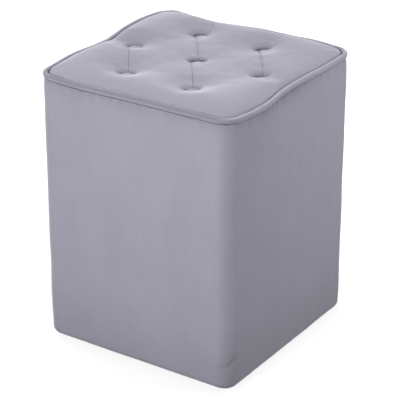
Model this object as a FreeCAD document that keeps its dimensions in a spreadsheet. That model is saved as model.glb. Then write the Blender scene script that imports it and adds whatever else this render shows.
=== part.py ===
import FreeCAD, Part
import math
import os
import re

import Sketcher

# Square tufted ottoman. Millimetres, +Z up, origin on the floor under the middle of the body.
# The front is -Y and the right is +X.

sizes = {
    # upholstered body
    "body_width": 350,
    "seam_height": 442,
    "crown_rise": 18,
    "corner_radius": 25,
    "shoulder_radius": 4,
    "cover_thick": 1.2,
    "side_foam_thick": 10,
    "layer_gap": 0.2,
    # frame of posts and rails
    "post_size": 36,
    "rail_thick": 18,
    "top_rail_height": 45,
    "bottom_rail_height": 40,
    "panel_thick": 3,
    "rebate_width": 12,
    "deck_thick": 12,
    "foam_block_thick": 37,
    "brace_leg": 70,
    "brace_height": 30,
    "brace_lift": 5,
    # dowels, screws, pins and staples
    "dowel_dia": 8,
    "dowel_length": 38,
    "dowel_post_depth": 17,
    "dowel_spacing": 20,
    "dowel_chamfer": 0.8,
    "dowel_end_room": 1,
    "fastener_gap": 0.1,
    "deck_screw_dia": 4,
    "deck_screw_head": 8,
    "deck_screw_length": 32,
    "deck_screw_pitch": 110,
    "brace_screw_dia": 4,
    "brace_screw_head": 8,
    "brace_screw_length": 28,
    "brace_screw_grip": 14,
    "brace_screw_setback": 52,
    "pin_dia": 1.6,
    "pin_head": 3.2,
    "pin_length": 18,
    "pin_pitch": 85,
    "pin_rise": 120,
    "staple_wire": 0.7,
    "staple_width": 1.2,
    "staple_crown": 10,
    "staple_leg": 8,
    "staple_pitch": 44,
    # seat top, welt and buttons
    "draw_in": 2.5,
    "crown_reach": 100,
    "crown_fullness": 2.5,
    "corner_easing": 0.25,
    "welt_dia": 8,
    "welt_stand": 0.4,
    "button_edge_inset": 57,
    "button_dia": 24,
    "button_height": 7.5,
    "button_dome": 5,
    "button_chamfer": 1,
    "tuft_depth": 18,
    "tuft_flare": 22,
    "tuft_ease": 0.8,
    "tuft_lip": 1,
    "pleat_depth": 8,
    "pleat_reach": 15,
    "left_pleat_lean": 34,
    "right_pleat_lean": 17,
    "back_dia": 19,
    "back_thick": 1.2,
    "eye_dia": 7.4,
    "eye_wire": 1.4,
    "twine_dia": 1.6,
    "twine_bore": 9,
    "washer_dia": 25,
    "washer_bore": 6,
    "washer_thick": 1.5,
    "knot_dia": 8,
    # base
    "hem_width": 50,
    "dust_thick": 0.6,
    "dust_inset": 16,
    "glide_dia": 25,
    "glide_height": 4,
    "glide_chamfer": 1,
    "glide_inset": 22,
    "glide_screw_dia": 3.5,
    "glide_screw_head": 7,
    "glide_screw_length": 18,
    "glide_screw_recess": 0.8,
}

# Levels and half widths that follow from the sizes above.
derived = {
    "half_width": "body_width / 2",
    "body_base": "glide_height + dust_thick + staple_wire",
    "edge_radius": "side_foam_thick + cover_thick",
    "frame_base": "body_base + cover_thick + layer_gap",
    "frame_half": "half_width - cover_thick - side_foam_thick - 2 * layer_gap",
    "frame_radius": "corner_radius - cover_thick - side_foam_thick - 2 * layer_gap",
    "deck_top": "seam_height - foam_block_thick",
    "frame_top": "deck_top - deck_thick",
    "frame_middle": "(frame_base + frame_top) / 2",
    "post_inner": "frame_half - post_size",
    "rail_outer": "frame_half - panel_thick",
    "rail_inner": "rail_outer - rail_thick",
    "rail_middle": "rail_outer - rail_thick / 2",
    "foam_outer": "half_width - cover_thick - layer_gap",
    "foam_outer_radius": "corner_radius - cover_thick - layer_gap",
    "seat_opening": "frame_half + 2 * layer_gap",
    "seat_opening_radius": "frame_radius + 2 * layer_gap",
    "rim_level": "seam_height + cover_thick",
    "crown_top": "seam_height + crown_rise",
    "tuft_floor": "crown_top - tuft_depth",
    "welt_half": "half_width + welt_stand - welt_dia / 2",
    "welt_corner": "corner_radius + welt_stand - welt_dia / 2",
    "welt_level": "seam_height + welt_dia / 2",
    "welt_bore": "welt_dia - 2 * cover_thick",
    "welt_cord_dia": "welt_bore - 2 * layer_gap",
    "rim_half": "welt_half - welt_dia / 2 - layer_gap",
    "rim_corner": "welt_corner - welt_dia / 2 - layer_gap",
    "button_pitch": "half_width - button_edge_inset",
    "button_row": "button_pitch * sqrt(3) / 2",
    "dome_radius": "((button_dia / 2) ^ 2 + button_dome ^ 2) / (2 * button_dome)",
    "dome_side": "button_height - dome_radius + sqrt(dome_radius ^ 2 - (button_dia / 4) ^ 2)",
    "eye_level": "tuft_floor - eye_dia / 2 + eye_wire / 2",
    "eye_low": "eye_level - eye_dia / 2 + eye_wire / 2",
    "twine_spread": "eye_wire / 2 + twine_dia / 2 + fastener_gap",
    "washer_level": "frame_top - washer_thick",
    "knot_level": "washer_level - sqrt((knot_dia / 2) ^ 2 - (washer_bore / 2) ^ 2) - fastener_gap",
    "glide_place": "frame_half - glide_inset",
    "brace_seat": "rail_inner - brace_screw_grip",
    "brace_screw_side": "rail_inner - brace_screw_setback",
    "brace_middle": "frame_base + brace_lift + brace_height / 2",
}

# Places of the crown's cross-sections, as shares of the way in from the rim.
crown_steps = (0, 0.015, 0.06, 0.15, 0.3, 0.55, 1)
# Where a puffed edge passes between its foot and its brim, as shares of its width and height.
puff_across = 0.3
puff_up = 0.72
# How far apart neighbouring buttons may stand, as a share of the pitch.
neighbour_reach = 1.1
# The distance below which two edges lie at the same place.
same_place = 0.0001
quarter_turn = 90
full_turn = 4 * quarter_turn
side_names = ("right", "back", "left", "front")
corner_names = ("back_right", "back_left", "front_left", "front_right")

doc = FreeCAD.newDocument("SquareOttoman")
sheet = doc.addObject("Spreadsheet::Sheet", "Sizes")
for row, (alias, number) in enumerate(sizes.items(), 1):
    sheet.set(f"A{row}", alias)
    sheet.set(f"B{row}", str(number))
    sheet.setAlias(f"B{row}", alias)
doc.recompute()

pieces = {}


def expand(word):
    name = word.group()
    if name in sizes:
        return f"Sizes.{name}"
    if name in derived:
        return f"({formula(derived[name])})"
    return name


# An expression over the sheet's cells, from plain words.
def formula(text):
    return re.sub(r"[a-z_]+", expand, text)


def value(text):
    return float(sheet.evalExpression(formula(text)))


def bind(thing, prop, text):
    thing.setExpression(prop, formula(text))


def vector(x, y, z=0.0):
    return FreeCAD.Vector(x, y, z)


def new_body(name):
    return doc.addObject("PartDesign::Body", name)


def origin_plane(body, role):
    return next(plane for plane in body.Origin.OriginFeatures if plane.Role == role)


def new_sketch(body, role, level):
    drawing = body.newObject("Sketcher::SketchObject", "Outline")
    drawing.AttachmentSupport = (origin_plane(body, role), [""])
    drawing.MapMode = "FlatFace"
    bind(drawing, "AttachmentOffset.Base.z", level)
    return drawing


def pin_point(drawing, geometry, end, x, y):
    for kind, text in (("DistanceX", x), ("DistanceY", y)):
        rule = drawing.addConstraint(Sketcher.Constraint(kind, -1, 1, geometry, end, value(text)))
        bind(drawing, f"Constraints[{rule}]", text)


# A closed loop of straight edges and arcs. Every corner is a pair of formulas, and arcs holds,
# by the number of the corner where an arc starts, a point that the arc passes through.
def draw_loop(drawing, corners, arcs=()):
    arcs = dict(arcs)
    spots = [vector(value(x), value(y)) for x, y in corners]
    ends = []
    for number, start in enumerate(spots):
        finish = spots[(number + 1) % len(spots)]
        if number in arcs:
            middle = vector(*(value(text) for text in arcs[number]))
            curve = Part.ArcOfCircle(start, middle, finish)
            forward = curve.StartPoint.distanceToPoint(start) < curve.StartPoint.distanceToPoint(finish)
        else:
            curve = Part.LineSegment(start, finish)
            forward = True
        ends.append((drawing.addGeometry(curve), *((1, 2) if forward else (2, 1))))
    for number, (edge, start, finish) in enumerate(ends):
        following, following_start, _ = ends[(number + 1) % len(ends)]
        drawing.addConstraint(Sketcher.Constraint("Coincident", edge, finish, following, following_start))
        pin_point(drawing, edge, start, *corners[number])
        if number in arcs:
            spot = drawing.addGeometry(Part.Point(vector(*(value(text) for text in arcs[number]))), True)
            pin_point(drawing, spot, 1, *arcs[number])
            drawing.addConstraint(Sketcher.Constraint("PointOnObject", spot, 1, edge))


# A square with rounded corners about the origin.
def draw_square(drawing, half, radius):
    flat = f"({half} - ({radius}))"
    bend = f"({half} - ({radius}) * (1 - sqrt(0.5)))"
    corners = [
        (half, f"-{flat}"), (half, flat), (flat, half), (f"-{flat}", half),
        (f"-({half})", flat), (f"-({half})", f"-{flat}"), (f"-{flat}", f"-({half})"), (flat, f"-({half})"),
    ]
    arcs = {
        1: (bend, bend),
        3: (f"-{bend}", bend),
        5: (f"-{bend}", f"-{bend}"),
        7: (bend, f"-{bend}"),
    }
    draw_loop(drawing, corners, arcs)


def add_pad(body, drawing, length):
    pad = body.newObject("PartDesign::Pad", "Pad")
    pad.Profile = drawing
    bind(pad, "Length", length)
    return pad


# A flat board: a loop of corners, raised from one level by a height.
def make_board(name, corners, level, height, arcs=()):
    body = new_body(name)
    drawing = new_sketch(body, "XY_Plane", level)
    draw_loop(drawing, corners, arcs)
    add_pad(body, drawing, height)
    return body


# A slab with a rounded square outline, and a rounded square hole if one is given.
def make_slab(name, half, radius, level, height, hole=None):
    body = new_body(name)
    drawing = new_sketch(body, "XY_Plane", level)
    draw_square(drawing, half, radius)
    if hole:
        draw_square(drawing, *hole)
    add_pad(body, drawing, height)
    return body


# Rounds the outer edges that lie at one level of a slab.
def round_edges(body, level, half, radius):
    doc.recompute()
    height = value(level)
    reach = value(half)
    names = []
    for number, edge in enumerate(body.Shape.Edges, 1):
        box = edge.BoundBox
        flat = abs(box.ZMin - height) < same_place and abs(box.ZMax - height) < same_place
        far = max(abs(box.XMin), abs(box.XMax), abs(box.YMin), abs(box.YMax))
        if flat and abs(far - reach) < same_place:
            names.append(f"Edge{number}")
    base = body.Tip
    fillet = body.newObject("PartDesign::Fillet", "Rounding")
    fillet.Base = (base, names)
    bind(fillet, "Radius", radius)


# A turned piece: a loop of radius and height, spun about the vertical axis.
def make_turning(name, corners, arcs=()):
    body = new_body(name)
    drawing = new_sketch(body, "XZ_Plane", "0")
    draw_loop(drawing, corners, arcs)
    turning = body.newObject("PartDesign::Revolution", "Turning")
    turning.Profile = drawing
    turning.ReferenceAxis = (drawing, ["V_Axis"])
    return body


# A countersunk screw or pin with its head's top at height 0 and its point below.
def make_screw(name, dia, head, length, room="0", access="0"):
    head_radius = f"({head} / 2 + {room})"
    shank_radius = f"({dia} / 2 + {room})"
    neck = f"-({head} - {dia}) / 2"
    corners = [
        ("0", f"{access} + {room}"),
        (head_radius, f"{access} + {room}"),
        (head_radius, f"-{room} / 2"),
        (shank_radius, f"{neck} - {room} / 2"),
        (shank_radius, f"-({length} - {dia} / 2 + {room})"),
        ("0", f"-({length} + {room})"),
    ]
    if room == "0":
        corners = [("0", "0"), (head_radius, "0")] + corners[3:]
    return make_turning(name, corners)


# A staple with its crown at the bottom and its legs up.
def make_staple(name, room="0"):
    body = new_body(name)
    drawing = new_sketch(body, "XZ_Plane", f"-(staple_width / 2 + {room})")
    outer = f"(staple_crown / 2 + {room})"
    inner = f"(staple_crown / 2 - staple_wire - {room})"
    tip = f"staple_leg + {room}"
    corners = [
        (f"-{outer}", f"-{room}"), (outer, f"-{room}"), (outer, tip), (inner, tip),
        (inner, "staple_wire"), (f"-{inner}", "staple_wire"), (f"-{inner}", tip), (f"-{outer}", tip),
    ]
    draw_loop(drawing, corners)
    add_pad(body, drawing, f"staple_width + 2 * {room}")
    return body


def place(x, y, z, axis=(0, 0, 1), angle=0):
    return FreeCAD.Placement(vector(x, y, z), FreeCAD.Rotation(FreeCAD.Vector(*axis), angle))


def quarter(number):
    return place(0, 0, 0, (0, 0, 1), quarter_turn * number)


# The same places on all four sides.
def all_round(places):
    places = list(places)
    return [quarter(number) * spot for number in range(len(side_names)) for spot in places]


def make_feature(name, shape):
    feature = doc.addObject("Part::Feature", name)
    feature.Shape = shape
    return feature


# Copies of one piece at several places, as one group of separate solids.
def make_group(name, master, places):
    doc.recompute()
    copies = []
    for spot in places:
        copy = master.Shape.copy()
        copy.Placement = spot * copy.Placement
        copies.append(copy)
    return make_feature(name, Part.makeCompound(copies))


def make_cut(base, tool):
    cut = doc.addObject("Part::Cut", "Cut")
    cut.Base = base
    cut.Tool = tool
    cut.Refine = False
    return cut


def keep(piece, label):
    piece.Label = label
    pieces[label] = piece


# Takes out of a piece the bores that reach it, and names it.
def keep_bored(blank, label, groups):
    doc.recompute()
    reach = blank.Shape.BoundBox
    bores = [bore for group in groups for bore in group.Shape.Solids if reach.intersect(bore.BoundBox)]
    keep(make_cut(blank, make_feature("Bores", Part.makeCompound(bores))), label)


button_places = {
    "button_front_left": ("-button_pitch / 2", "-button_row"),
    "button_front_right": ("button_pitch / 2", "-button_row"),
    "button_middle_left": ("-button_pitch", "0"),
    "button_centre": ("0", "0"),
    "button_middle_right": ("button_pitch", "0"),
    "button_back_left": ("-button_pitch / 2", "button_row"),
    "button_back_right": ("button_pitch / 2", "button_row"),
}
button_spots = {name: (value(x), value(y)) for name, (x, y) in button_places.items()}


def at_buttons(level):
    return [place(x, y, value(level)) for x, y in button_spots.values()]


# Dowels: two in each end of every rail, half in the rail and half in the post.
dowel_end = value("post_inner + dowel_post_depth - dowel_length / 2")
dowel_levels = [
    value(f"{middle} + {side} * dowel_spacing / 2")
    for middle in ("frame_top - top_rail_height / 2", "frame_base + bottom_rail_height / 2")
    for side in (-1, 1)
]
dowel_places = all_round(
    place(value("rail_middle"), end * dowel_end, level, (1, 0, 0), quarter_turn)
    for level in dowel_levels
    for end in (-1, 1)
)
dowel_tip = "dowel_length / 2"
dowel_slope = "dowel_dia / 2 - dowel_chamfer"
dowel = make_turning("Dowel", [
    ("0", f"-{dowel_tip}"),
    (dowel_slope, f"-{dowel_tip}"),
    ("dowel_dia / 2", f"-({dowel_tip} - dowel_chamfer)"),
    ("dowel_dia / 2", f"{dowel_tip} - dowel_chamfer"),
    (dowel_slope, dowel_tip),
    ("0", dowel_tip),
])
dowel_hole = make_turning("DowelHole", [
    ("0", f"-({dowel_tip} + dowel_end_room)"),
    ("dowel_dia / 2 + fastener_gap", f"-({dowel_tip} + dowel_end_room)"),
    ("dowel_dia / 2 + fastener_gap", f"{dowel_tip} + dowel_end_room"),
    ("0", f"{dowel_tip} + dowel_end_room"),
])
keep(make_group("Dowels", dowel, dowel_places), "rail_dowels")
dowel_holes = make_group("DowelHoles", dowel_hole, dowel_places)

# Screws that hold the deck down on the top rails.
deck_screw_places = all_round(
    place(value("rail_middle"), side * value("deck_screw_pitch / 2"), value("deck_top"))
    for side in (-1, 1)
)
deck_screw_sizes = ("deck_screw_dia", "deck_screw_head", "deck_screw_length")
keep(make_group("DeckScrews", make_screw("DeckScrew", *deck_screw_sizes), deck_screw_places), "deck_screws")
deck_screw_hole = make_screw("DeckScrewHole", *deck_screw_sizes, "fastener_gap")
deck_screw_holes = make_group("DeckScrewHoles", deck_screw_hole, deck_screw_places)

# Two screws through each corner brace, one into each of its rails.
brace_screw_places = all_round([
    place(value("brace_seat"), value("brace_screw_side"), value("brace_middle"), (0, 1, 0), -quarter_turn),
    place(value("brace_screw_side"), value("brace_seat"), value("brace_middle"), (1, 0, 0), quarter_turn),
])
brace_screw_sizes = ("brace_screw_dia", "brace_screw_head", "brace_screw_length")
brace_screw = make_screw("BraceScrew", *brace_screw_sizes)
keep(make_group("BraceScrews", brace_screw, brace_screw_places), "brace_screws")
brace_screw_hole = make_screw("BraceScrewHole", *brace_screw_sizes, "fastener_gap", "brace_leg")
brace_screw_holes = make_group("BraceScrewHoles", brace_screw_hole, brace_screw_places)

# Pins that hold each side panel to its rails and posts.
pin_spots = [
    (side * value("pin_pitch"), value(level))
    for level in ("frame_top - top_rail_height / 2", "frame_base + bottom_rail_height / 2")
    for side in (-1, 0, 1)
]
pin_spots += [
    (side * value("post_inner + rebate_width / 2"), value(f"frame_middle + {level} * pin_rise / 2"))
    for side in (-1, 1)
    for level in (-1, 1)
]
pin_places = all_round(
    place(value("frame_half"), along, level, (0, 1, 0), quarter_turn) for along, level in pin_spots
)
pin_sizes = ("pin_dia", "pin_head", "pin_length")
keep(make_group("PanelPins", make_screw("Pin", *pin_sizes), pin_places), "panel_pins")
pin_holes = make_group("PinHoles", make_screw("PinHole", *pin_sizes, "fastener_gap"), pin_places)

# Staples through the hem of the side cover, and others through the dust cover.
staple = make_staple("Staple")
staple_slot = make_staple("StapleSlot", "fastener_gap")
hem_staple_places = all_round(
    place(value("rail_middle"), step * value("staple_pitch / 2"), value("body_base - staple_wire"),
          (0, 0, 1), quarter_turn)
    for step in (-3, -1, 1, 3)
)
dust_staple_places = all_round(
    place(value("rail_middle"), step * value("staple_pitch"), value("glide_height - staple_wire"),
          (0, 0, 1), quarter_turn)
    for step in (-2, -1, 0, 1, 2)
)
keep(make_group("HemStaples", staple, hem_staple_places), "hem_staples")
keep(make_group("DustStaples", staple, dust_staple_places), "dust_cover_staples")
hem_slots = make_group("HemSlots", staple_slot, hem_staple_places)
dust_slots = make_group("DustSlots", staple_slot, dust_staple_places)

# Screws that hold the glides to the posts.
glide_screw_places = all_round([
    place(value("glide_place"), value("glide_place"), value("glide_screw_recess"),
          (1, 0, 0), 2 * quarter_turn)
])
glide_screw_sizes = ("glide_screw_dia", "glide_screw_head", "glide_screw_length")
glide_screw = make_screw("GlideScrew", *glide_screw_sizes)
keep(make_group("GlideScrews", glide_screw, glide_screw_places), "glide_screws")
glide_screw_hole = make_screw("GlideScrewHole", *glide_screw_sizes, "fastener_gap", "glide_screw_recess")
glide_screw_holes = make_group("GlideScrewHoles", glide_screw_hole, glide_screw_places)

# Corner posts, rebated on both outer faces for the side panels.
post_step = "post_inner + rebate_width"
post_flat = "frame_half - frame_radius"
post_bend = "frame_half - frame_radius * (1 - sqrt(0.5))"
post_corners = [
    ("post_inner", "post_inner"), ("rail_outer", "post_inner"), ("rail_outer", post_step),
    ("frame_half", post_step), ("frame_half", post_flat), (post_flat, "frame_half"),
    (post_step, "frame_half"), (post_step, "rail_outer"), ("post_inner", "rail_outer"),
]
post_arcs = {4: (post_bend, post_bend)}
for number, corner in enumerate(corner_names):
    post = make_board("Post", post_corners, "frame_base", "frame_top - frame_base", post_arcs)
    post.Placement = quarter(number)
    keep_bored(post, f"post_{corner}", [dowel_holes, pin_holes, glide_screw_holes])


# The four corners of an upright board on the right side, between two distances from the middle.
def board_corners(inner, outer, end):
    return [(inner, f"-({end})"), (outer, f"-({end})"), (outer, end), (inner, end)]


rail_corners = board_corners("rail_inner", "rail_outer", "post_inner")
panel_corners = board_corners("rail_outer", "frame_half", f"{post_step} - layer_gap")
for number, side in enumerate(side_names):
    top_rail = make_board("TopRail", rail_corners, "frame_top - top_rail_height", "top_rail_height")
    top_rail.Placement = quarter(number)
    keep_bored(top_rail, f"top_rail_{side}", [dowel_holes, pin_holes, deck_screw_holes])
    bottom_rail = make_board("BottomRail", rail_corners, "frame_base", "bottom_rail_height")
    bottom_rail.Placement = quarter(number)
    keep_bored(bottom_rail, f"bottom_rail_{side}",
               [dowel_holes, pin_holes, brace_screw_holes, hem_slots, dust_slots])
    panel = make_board("Panel", panel_corners, "frame_base", "frame_top - frame_base")
    panel.Placement = quarter(number)
    keep_bored(panel, f"panel_{side}", [pin_holes])

# Corner braces between neighbouring bottom rails, notched round the posts.
brace_notch = "post_inner - layer_gap"
brace_tip = "rail_inner - brace_leg"
brace_corners = [
    ("rail_inner", brace_tip), ("rail_inner", brace_notch), (brace_notch, brace_notch),
    (brace_notch, "rail_inner"), (brace_tip, "rail_inner"),
]
for number, corner in enumerate(corner_names):
    brace = make_board("Brace", brace_corners, "frame_base + brace_lift", "brace_height")
    brace.Placement = quarter(number)
    keep_bored(brace, f"brace_{corner}", [brace_screw_holes])

# Bores for the button twines, through the seat from the tuft floors down.
twine_bore = make_turning("TwineBore", [
    ("0", "frame_top - deck_thick"), ("twine_bore / 2", "frame_top - deck_thick"),
    ("twine_bore / 2", "tuft_floor + cover_thick"), ("0", "tuft_floor + cover_thick"),
])
twine_bores = make_group("TwineBores", twine_bore, at_buttons("0"))

# Plywood deck on top of the frame.
deck = make_slab("Deck", "frame_half", "frame_radius", "frame_top", "deck_thick")
keep_bored(deck, "seat_deck", [deck_screw_holes, twine_bores])

# Foam wrapped round the sides of the frame and the seat block.
foam_top = "seam_height - cover_thick - layer_gap"
foam_hole = ("frame_half + layer_gap", "frame_radius + layer_gap")
side_foam = make_slab("SideFoam", "foam_outer", "foam_outer_radius",
                      "frame_base", f"{foam_top} - frame_base", foam_hole)
round_edges(side_foam, "frame_base", "foam_outer", "side_foam_thick - layer_gap")
round_edges(side_foam, foam_top, "foam_outer", "shoulder_radius - cover_thick - layer_gap")
keep(side_foam, "side_foam")

# Velvet side cover: a sleeve, turned in under the welt and turned under the base as a hem.
sleeve = make_slab("Sleeve", "half_width", "corner_radius", "body_base", "seam_height - body_base")
round_edges(sleeve, "body_base", "half_width", "edge_radius")
round_edges(sleeve, "seam_height", "half_width", "shoulder_radius")
lining_half = "(half_width - cover_thick)"
lining = make_slab("Lining", lining_half, "corner_radius - cover_thick", "body_base + cover_thick",
                   "seam_height - body_base - 2 * cover_thick")
round_edges(lining, "body_base + cover_thick", lining_half, "edge_radius - cover_thick")
round_edges(lining, "seam_height - cover_thick", lining_half, "shoulder_radius - cover_thick")
seat_window = make_slab("SeatWindow", "seat_opening", "seat_opening_radius",
                        "seam_height - 2 * cover_thick", "4 * cover_thick")
base_window = make_slab("BaseWindow", "(half_width - hem_width)", "frame_radius",
                        "body_base - cover_thick", "4 * cover_thick")
sleeve_shell = make_cut(make_cut(make_cut(sleeve, lining), seat_window), base_window)
keep_bored(sleeve_shell, "side_cover", [glide_screw_holes, hem_slots, dust_slots])

# Dust cover over the open base.
dust_cover = make_slab("DustCover", "(half_width - dust_inset)", "frame_radius",
                       "glide_height", "dust_thick")
keep_bored(dust_cover, "dust_cover", [glide_screw_holes, dust_slots])

# Low glides under the posts.
for number, corner in enumerate(corner_names):
    glide = make_turning("Glide", [
        ("0", "0"), ("glide_dia / 2 - glide_chamfer", "0"), ("glide_dia / 2", "glide_chamfer"),
        ("glide_dia / 2", "glide_height"), ("0", "glide_height"),
    ])
    glide.Placement = quarter(number) * place(value("glide_place"), value("glide_place"), 0)
    keep_bored(glide, f"glide_{corner}", [glide_screw_holes])


# A square loop of eight tangent arcs, whose sides are drawn in between its corners.
def drawn_square(half, radius, draw, level):
    centre = half - radius
    lean = 2 * math.atan(draw / centre)
    side_radius = centre / math.sin(lean) - radius
    side_centre = centre + (side_radius + radius) * math.cos(lean)
    edges = []
    for number in range(len(side_names)):
        turn = quarter(number).Rotation

        def on_corner(angle):
            spot = vector(centre + radius * math.cos(angle), centre + radius * math.sin(angle), level)
            return turn.multVec(spot)

        def on_side(angle):
            return turn.multVec(vector(side_centre - side_radius * math.cos(angle),
                                       side_radius * math.sin(angle), level))

        side = Part.Arc(on_side(-lean), on_side(0), on_side(lean))
        bend = Part.Arc(on_corner(-lean), on_corner(math.pi / 4), on_corner(math.pi / 2 + lean))
        edges += [side.toShape(), bend.toShape()]
    return Part.Wire(edges)


# The crowned seat without its tufts, set in from the velvet's face by a margin.
def make_crown(margin):
    half = value("rim_half") - margin
    corner = value("rim_corner") - margin
    rise = value("crown_top - rim_level") - margin
    reach = value("crown_reach")
    fullness = value("crown_fullness")
    sections = []
    for share in crown_steps:
        inset = reach * share
        lift = rise * (1 - (1 - share) ** fullness) ** (1 / fullness)
        radius = corner + value("corner_easing") * inset
        draw = value("draw_in") * (1 - share / 2)
        sections.append(drawn_square(half - inset, radius, draw, value("rim_level") + lift))
    return Part.makeLoft(sections, True, True)


# The profile of a puffed edge from its foot up to its brim, in one upright plane.
def puffed_edge(foot_x, foot_z, brim_x, brim_z):
    foot = vector(foot_x, 0, foot_z)
    middle = vector(foot_x + puff_across * (brim_x - foot_x), 0, foot_z + puff_up * (brim_z - foot_z))
    return Part.Arc(foot, middle, vector(brim_x, 0, brim_z)).toShape()


# The hollow of one tuft, wide enough at its floor for a button.
def make_tuft(margin):
    floor = value("tuft_floor") - margin
    brim = value("crown_top + tuft_lip") - margin
    top = value("crown_top + crown_rise")
    foot = value("button_dia / 2 + tuft_ease") + margin
    reach = foot + value("tuft_flare")
    edge = puffed_edge(foot, floor, reach, brim)
    corners = [vector(reach, 0, brim), vector(reach, 0, top), vector(0, 0, top), vector(0, 0, floor),
               vector(foot, 0, floor)]
    profile = Part.Wire([edge] + Part.makePolygon(corners).Edges)
    return Part.Face(profile).revolve(vector(0, 0), vector(0, 0, 1), full_turn)


# The furrow of a pleat that runs between two spots in the plan.
def make_furrow(start, finish, margin):
    crease = value("crown_top - pleat_depth") - margin
    brim = value("crown_top + tuft_lip") - margin
    top = value("crown_top + crown_rise")
    reach = value("pleat_reach") + margin
    right = puffed_edge(0, crease, reach, brim)
    left = puffed_edge(0, crease, -reach, brim)
    cap = [vector(reach, 0, brim), vector(reach, 0, top), vector(-reach, 0, top), vector(-reach, 0, brim)]
    profile = Part.Face(Part.Wire(Part.sortEdges([right, left] + Part.makePolygon(cap).Edges)[0]))
    run = vector(finish[0] - start[0], finish[1] - start[1])
    furrow = profile.extrude(vector(0, run.Length))
    heading = math.degrees(math.atan2(run.y, run.x)) - quarter_turn
    furrow.Placement = place(start[0], start[1], 0, (0, 0, 1), heading)
    return furrow


# Diamond pleats join buttons of neighbouring rows.
pleats = [
    (start, finish)
    for start in button_spots.values()
    for finish in button_spots.values()
    if finish[1] - start[1] > value("button_row / 2")
    and math.dist(start, finish) < neighbour_reach * value("button_pitch")
]
# Loose pleats run out to the side edges, and lean to the left where they reach the back edge.
edge_pleats = {
    "button_middle_left": ("-half_width", "0"),
    "button_middle_right": ("half_width", "0"),
    "button_back_left": ("-button_pitch / 2 - left_pleat_lean", "half_width"),
    "button_back_right": ("button_pitch / 2 - right_pleat_lean", "half_width"),
}
pleats += [(button_spots[name], (value(x), value(y))) for name, (x, y) in edge_pleats.items()]


# The foam block under the crown, up to the rim of the seat.
foam_block = make_slab("FoamBlock", "frame_half", "frame_radius", "deck_top", "rim_level - deck_top")
doc.recompute()


# The whole tufted seat, set in from the velvet's face by a margin.
def make_seat(margin):
    tuft = make_tuft(margin)
    hollows = [make_furrow(start, finish, margin) for start, finish in pleats]
    for across, along in button_spots.values():
        hollow = tuft.copy()
        hollow.Placement = place(across, along, 0)
        hollows.append(hollow)
    return make_crown(margin).fuse(foam_block.Shape).cut(hollows)


# Seat foam: the block on the deck, with its tufted crown.
seat_blank = make_feature("SeatBlank", make_seat(value("cover_thick")))
keep_bored(seat_blank, "seat_foam", [twine_bores])

# Velvet top cover over the crown, down to the welt.
top_blank = make_feature("TopBlank", make_seat(0.0))
keep_bored(make_cut(top_blank, seat_blank), "top_cover", [twine_bores])

# Welt: a cord in a velvet sleeve whose flange is sewn in between the two covers.
welt_path = drawn_square(value("welt_half"), value("welt_corner"), value("draw_in"), value("welt_level"))


def make_ring(diameter):
    start = welt_path.Edges[0].firstVertex().Point
    heading = welt_path.Edges[0].tangentAt(welt_path.Edges[0].FirstParameter)
    section = Part.Wire(Part.Circle(start, heading, diameter / 2).toShape())
    return welt_path.makePipeShell([section], True, False)


flange_path = drawn_square(value("welt_half"), value("welt_corner"), value("draw_in"), value("seam_height"))
flange = Part.Face(flange_path).extrude(vector(0, 0, value("cover_thick")))
welt_sleeve = make_feature("WeltSleeve", make_ring(value("welt_dia")).fuse(flange))
welt_bore = make_feature("WeltBore", make_ring(value("welt_bore")))
flange_window = make_slab("FlangeWindow", "seat_opening", "seat_opening_radius",
                          "seam_height - cover_thick", "3 * cover_thick")
keep(make_cut(make_cut(welt_sleeve, flange_window), welt_bore), "welt_cover")
keep(make_feature("WeltCord", make_ring(value("welt_cord_dia"))), "welt_cord")

# Covered buttons, each with a recess underneath for its back plate.
recess = "back_thick + layer_gap"
for label, (across, along) in button_places.items():
    button = make_turning("Button", [
        ("0", recess), ("back_dia / 2 + fastener_gap", recess), ("back_dia / 2 + fastener_gap", "0"),
        ("button_dia / 2 - button_chamfer", "0"), ("button_dia / 2", "button_chamfer"),
        ("button_dia / 2", "button_height - button_dome"), ("0", "button_height"),
    ], {5: ("button_dia / 4", "dome_side")})
    bind(button, "Placement.Base.x", across)
    bind(button, "Placement.Base.y", along)
    bind(button, "Placement.Base.z", "tuft_floor")
    keep(button, label)

# Button backs: a plate with a wire eye under it.
plate = Part.makeCylinder(value("back_dia / 2"), value("back_thick"), vector(0, 0, value("tuft_floor")))
eye = Part.makeTorus(value("(eye_dia - eye_wire) / 2"), value("eye_wire / 2"),
                     vector(0, 0, value("eye_level")), vector(0, 1, 0))
button_back = make_feature("ButtonBack", plate.fuse(eye))
keep(make_group("ButtonBacks", button_back, at_buttons("0")), "button_backs")

# Button twines: looped through the eye, both strands down to a knot under the washer.
spread = value("twine_spread")
strand_low = value("knot_level")
strand_high = value("eye_low")
loop_start = vector(0, spread, strand_low)
loop_side = vector(0, spread, strand_high)
loop_top = vector(0, 0, strand_high + spread)
loop_far = vector(0, -spread, strand_high)
strand = Part.Wire([
    Part.makeLine(loop_start, loop_side),
    Part.Arc(loop_side, loop_top, loop_far).toShape(),
    Part.makeLine(loop_far, vector(0, -spread, strand_low)),
])
strand_section = Part.Wire(Part.Circle(loop_start, vector(0, 0, 1), value("twine_dia / 2")).toShape())
knot = Part.makeSphere(value("knot_dia / 2"), vector(0, 0, strand_low))
twine = make_feature("Twine", strand.makePipeShell([strand_section], True, False).fuse(knot))
keep(make_group("Twines", twine, at_buttons("0")), "button_twines")

# Washers under the deck.
washer = make_turning("Washer", [
    ("washer_bore / 2", "0"), ("washer_dia / 2", "0"),
    ("washer_dia / 2", "washer_thick"), ("washer_bore / 2", "washer_thick"),
])
keep(make_group("Washers", washer, at_buttons("washer_level")), "button_washers")

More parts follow.
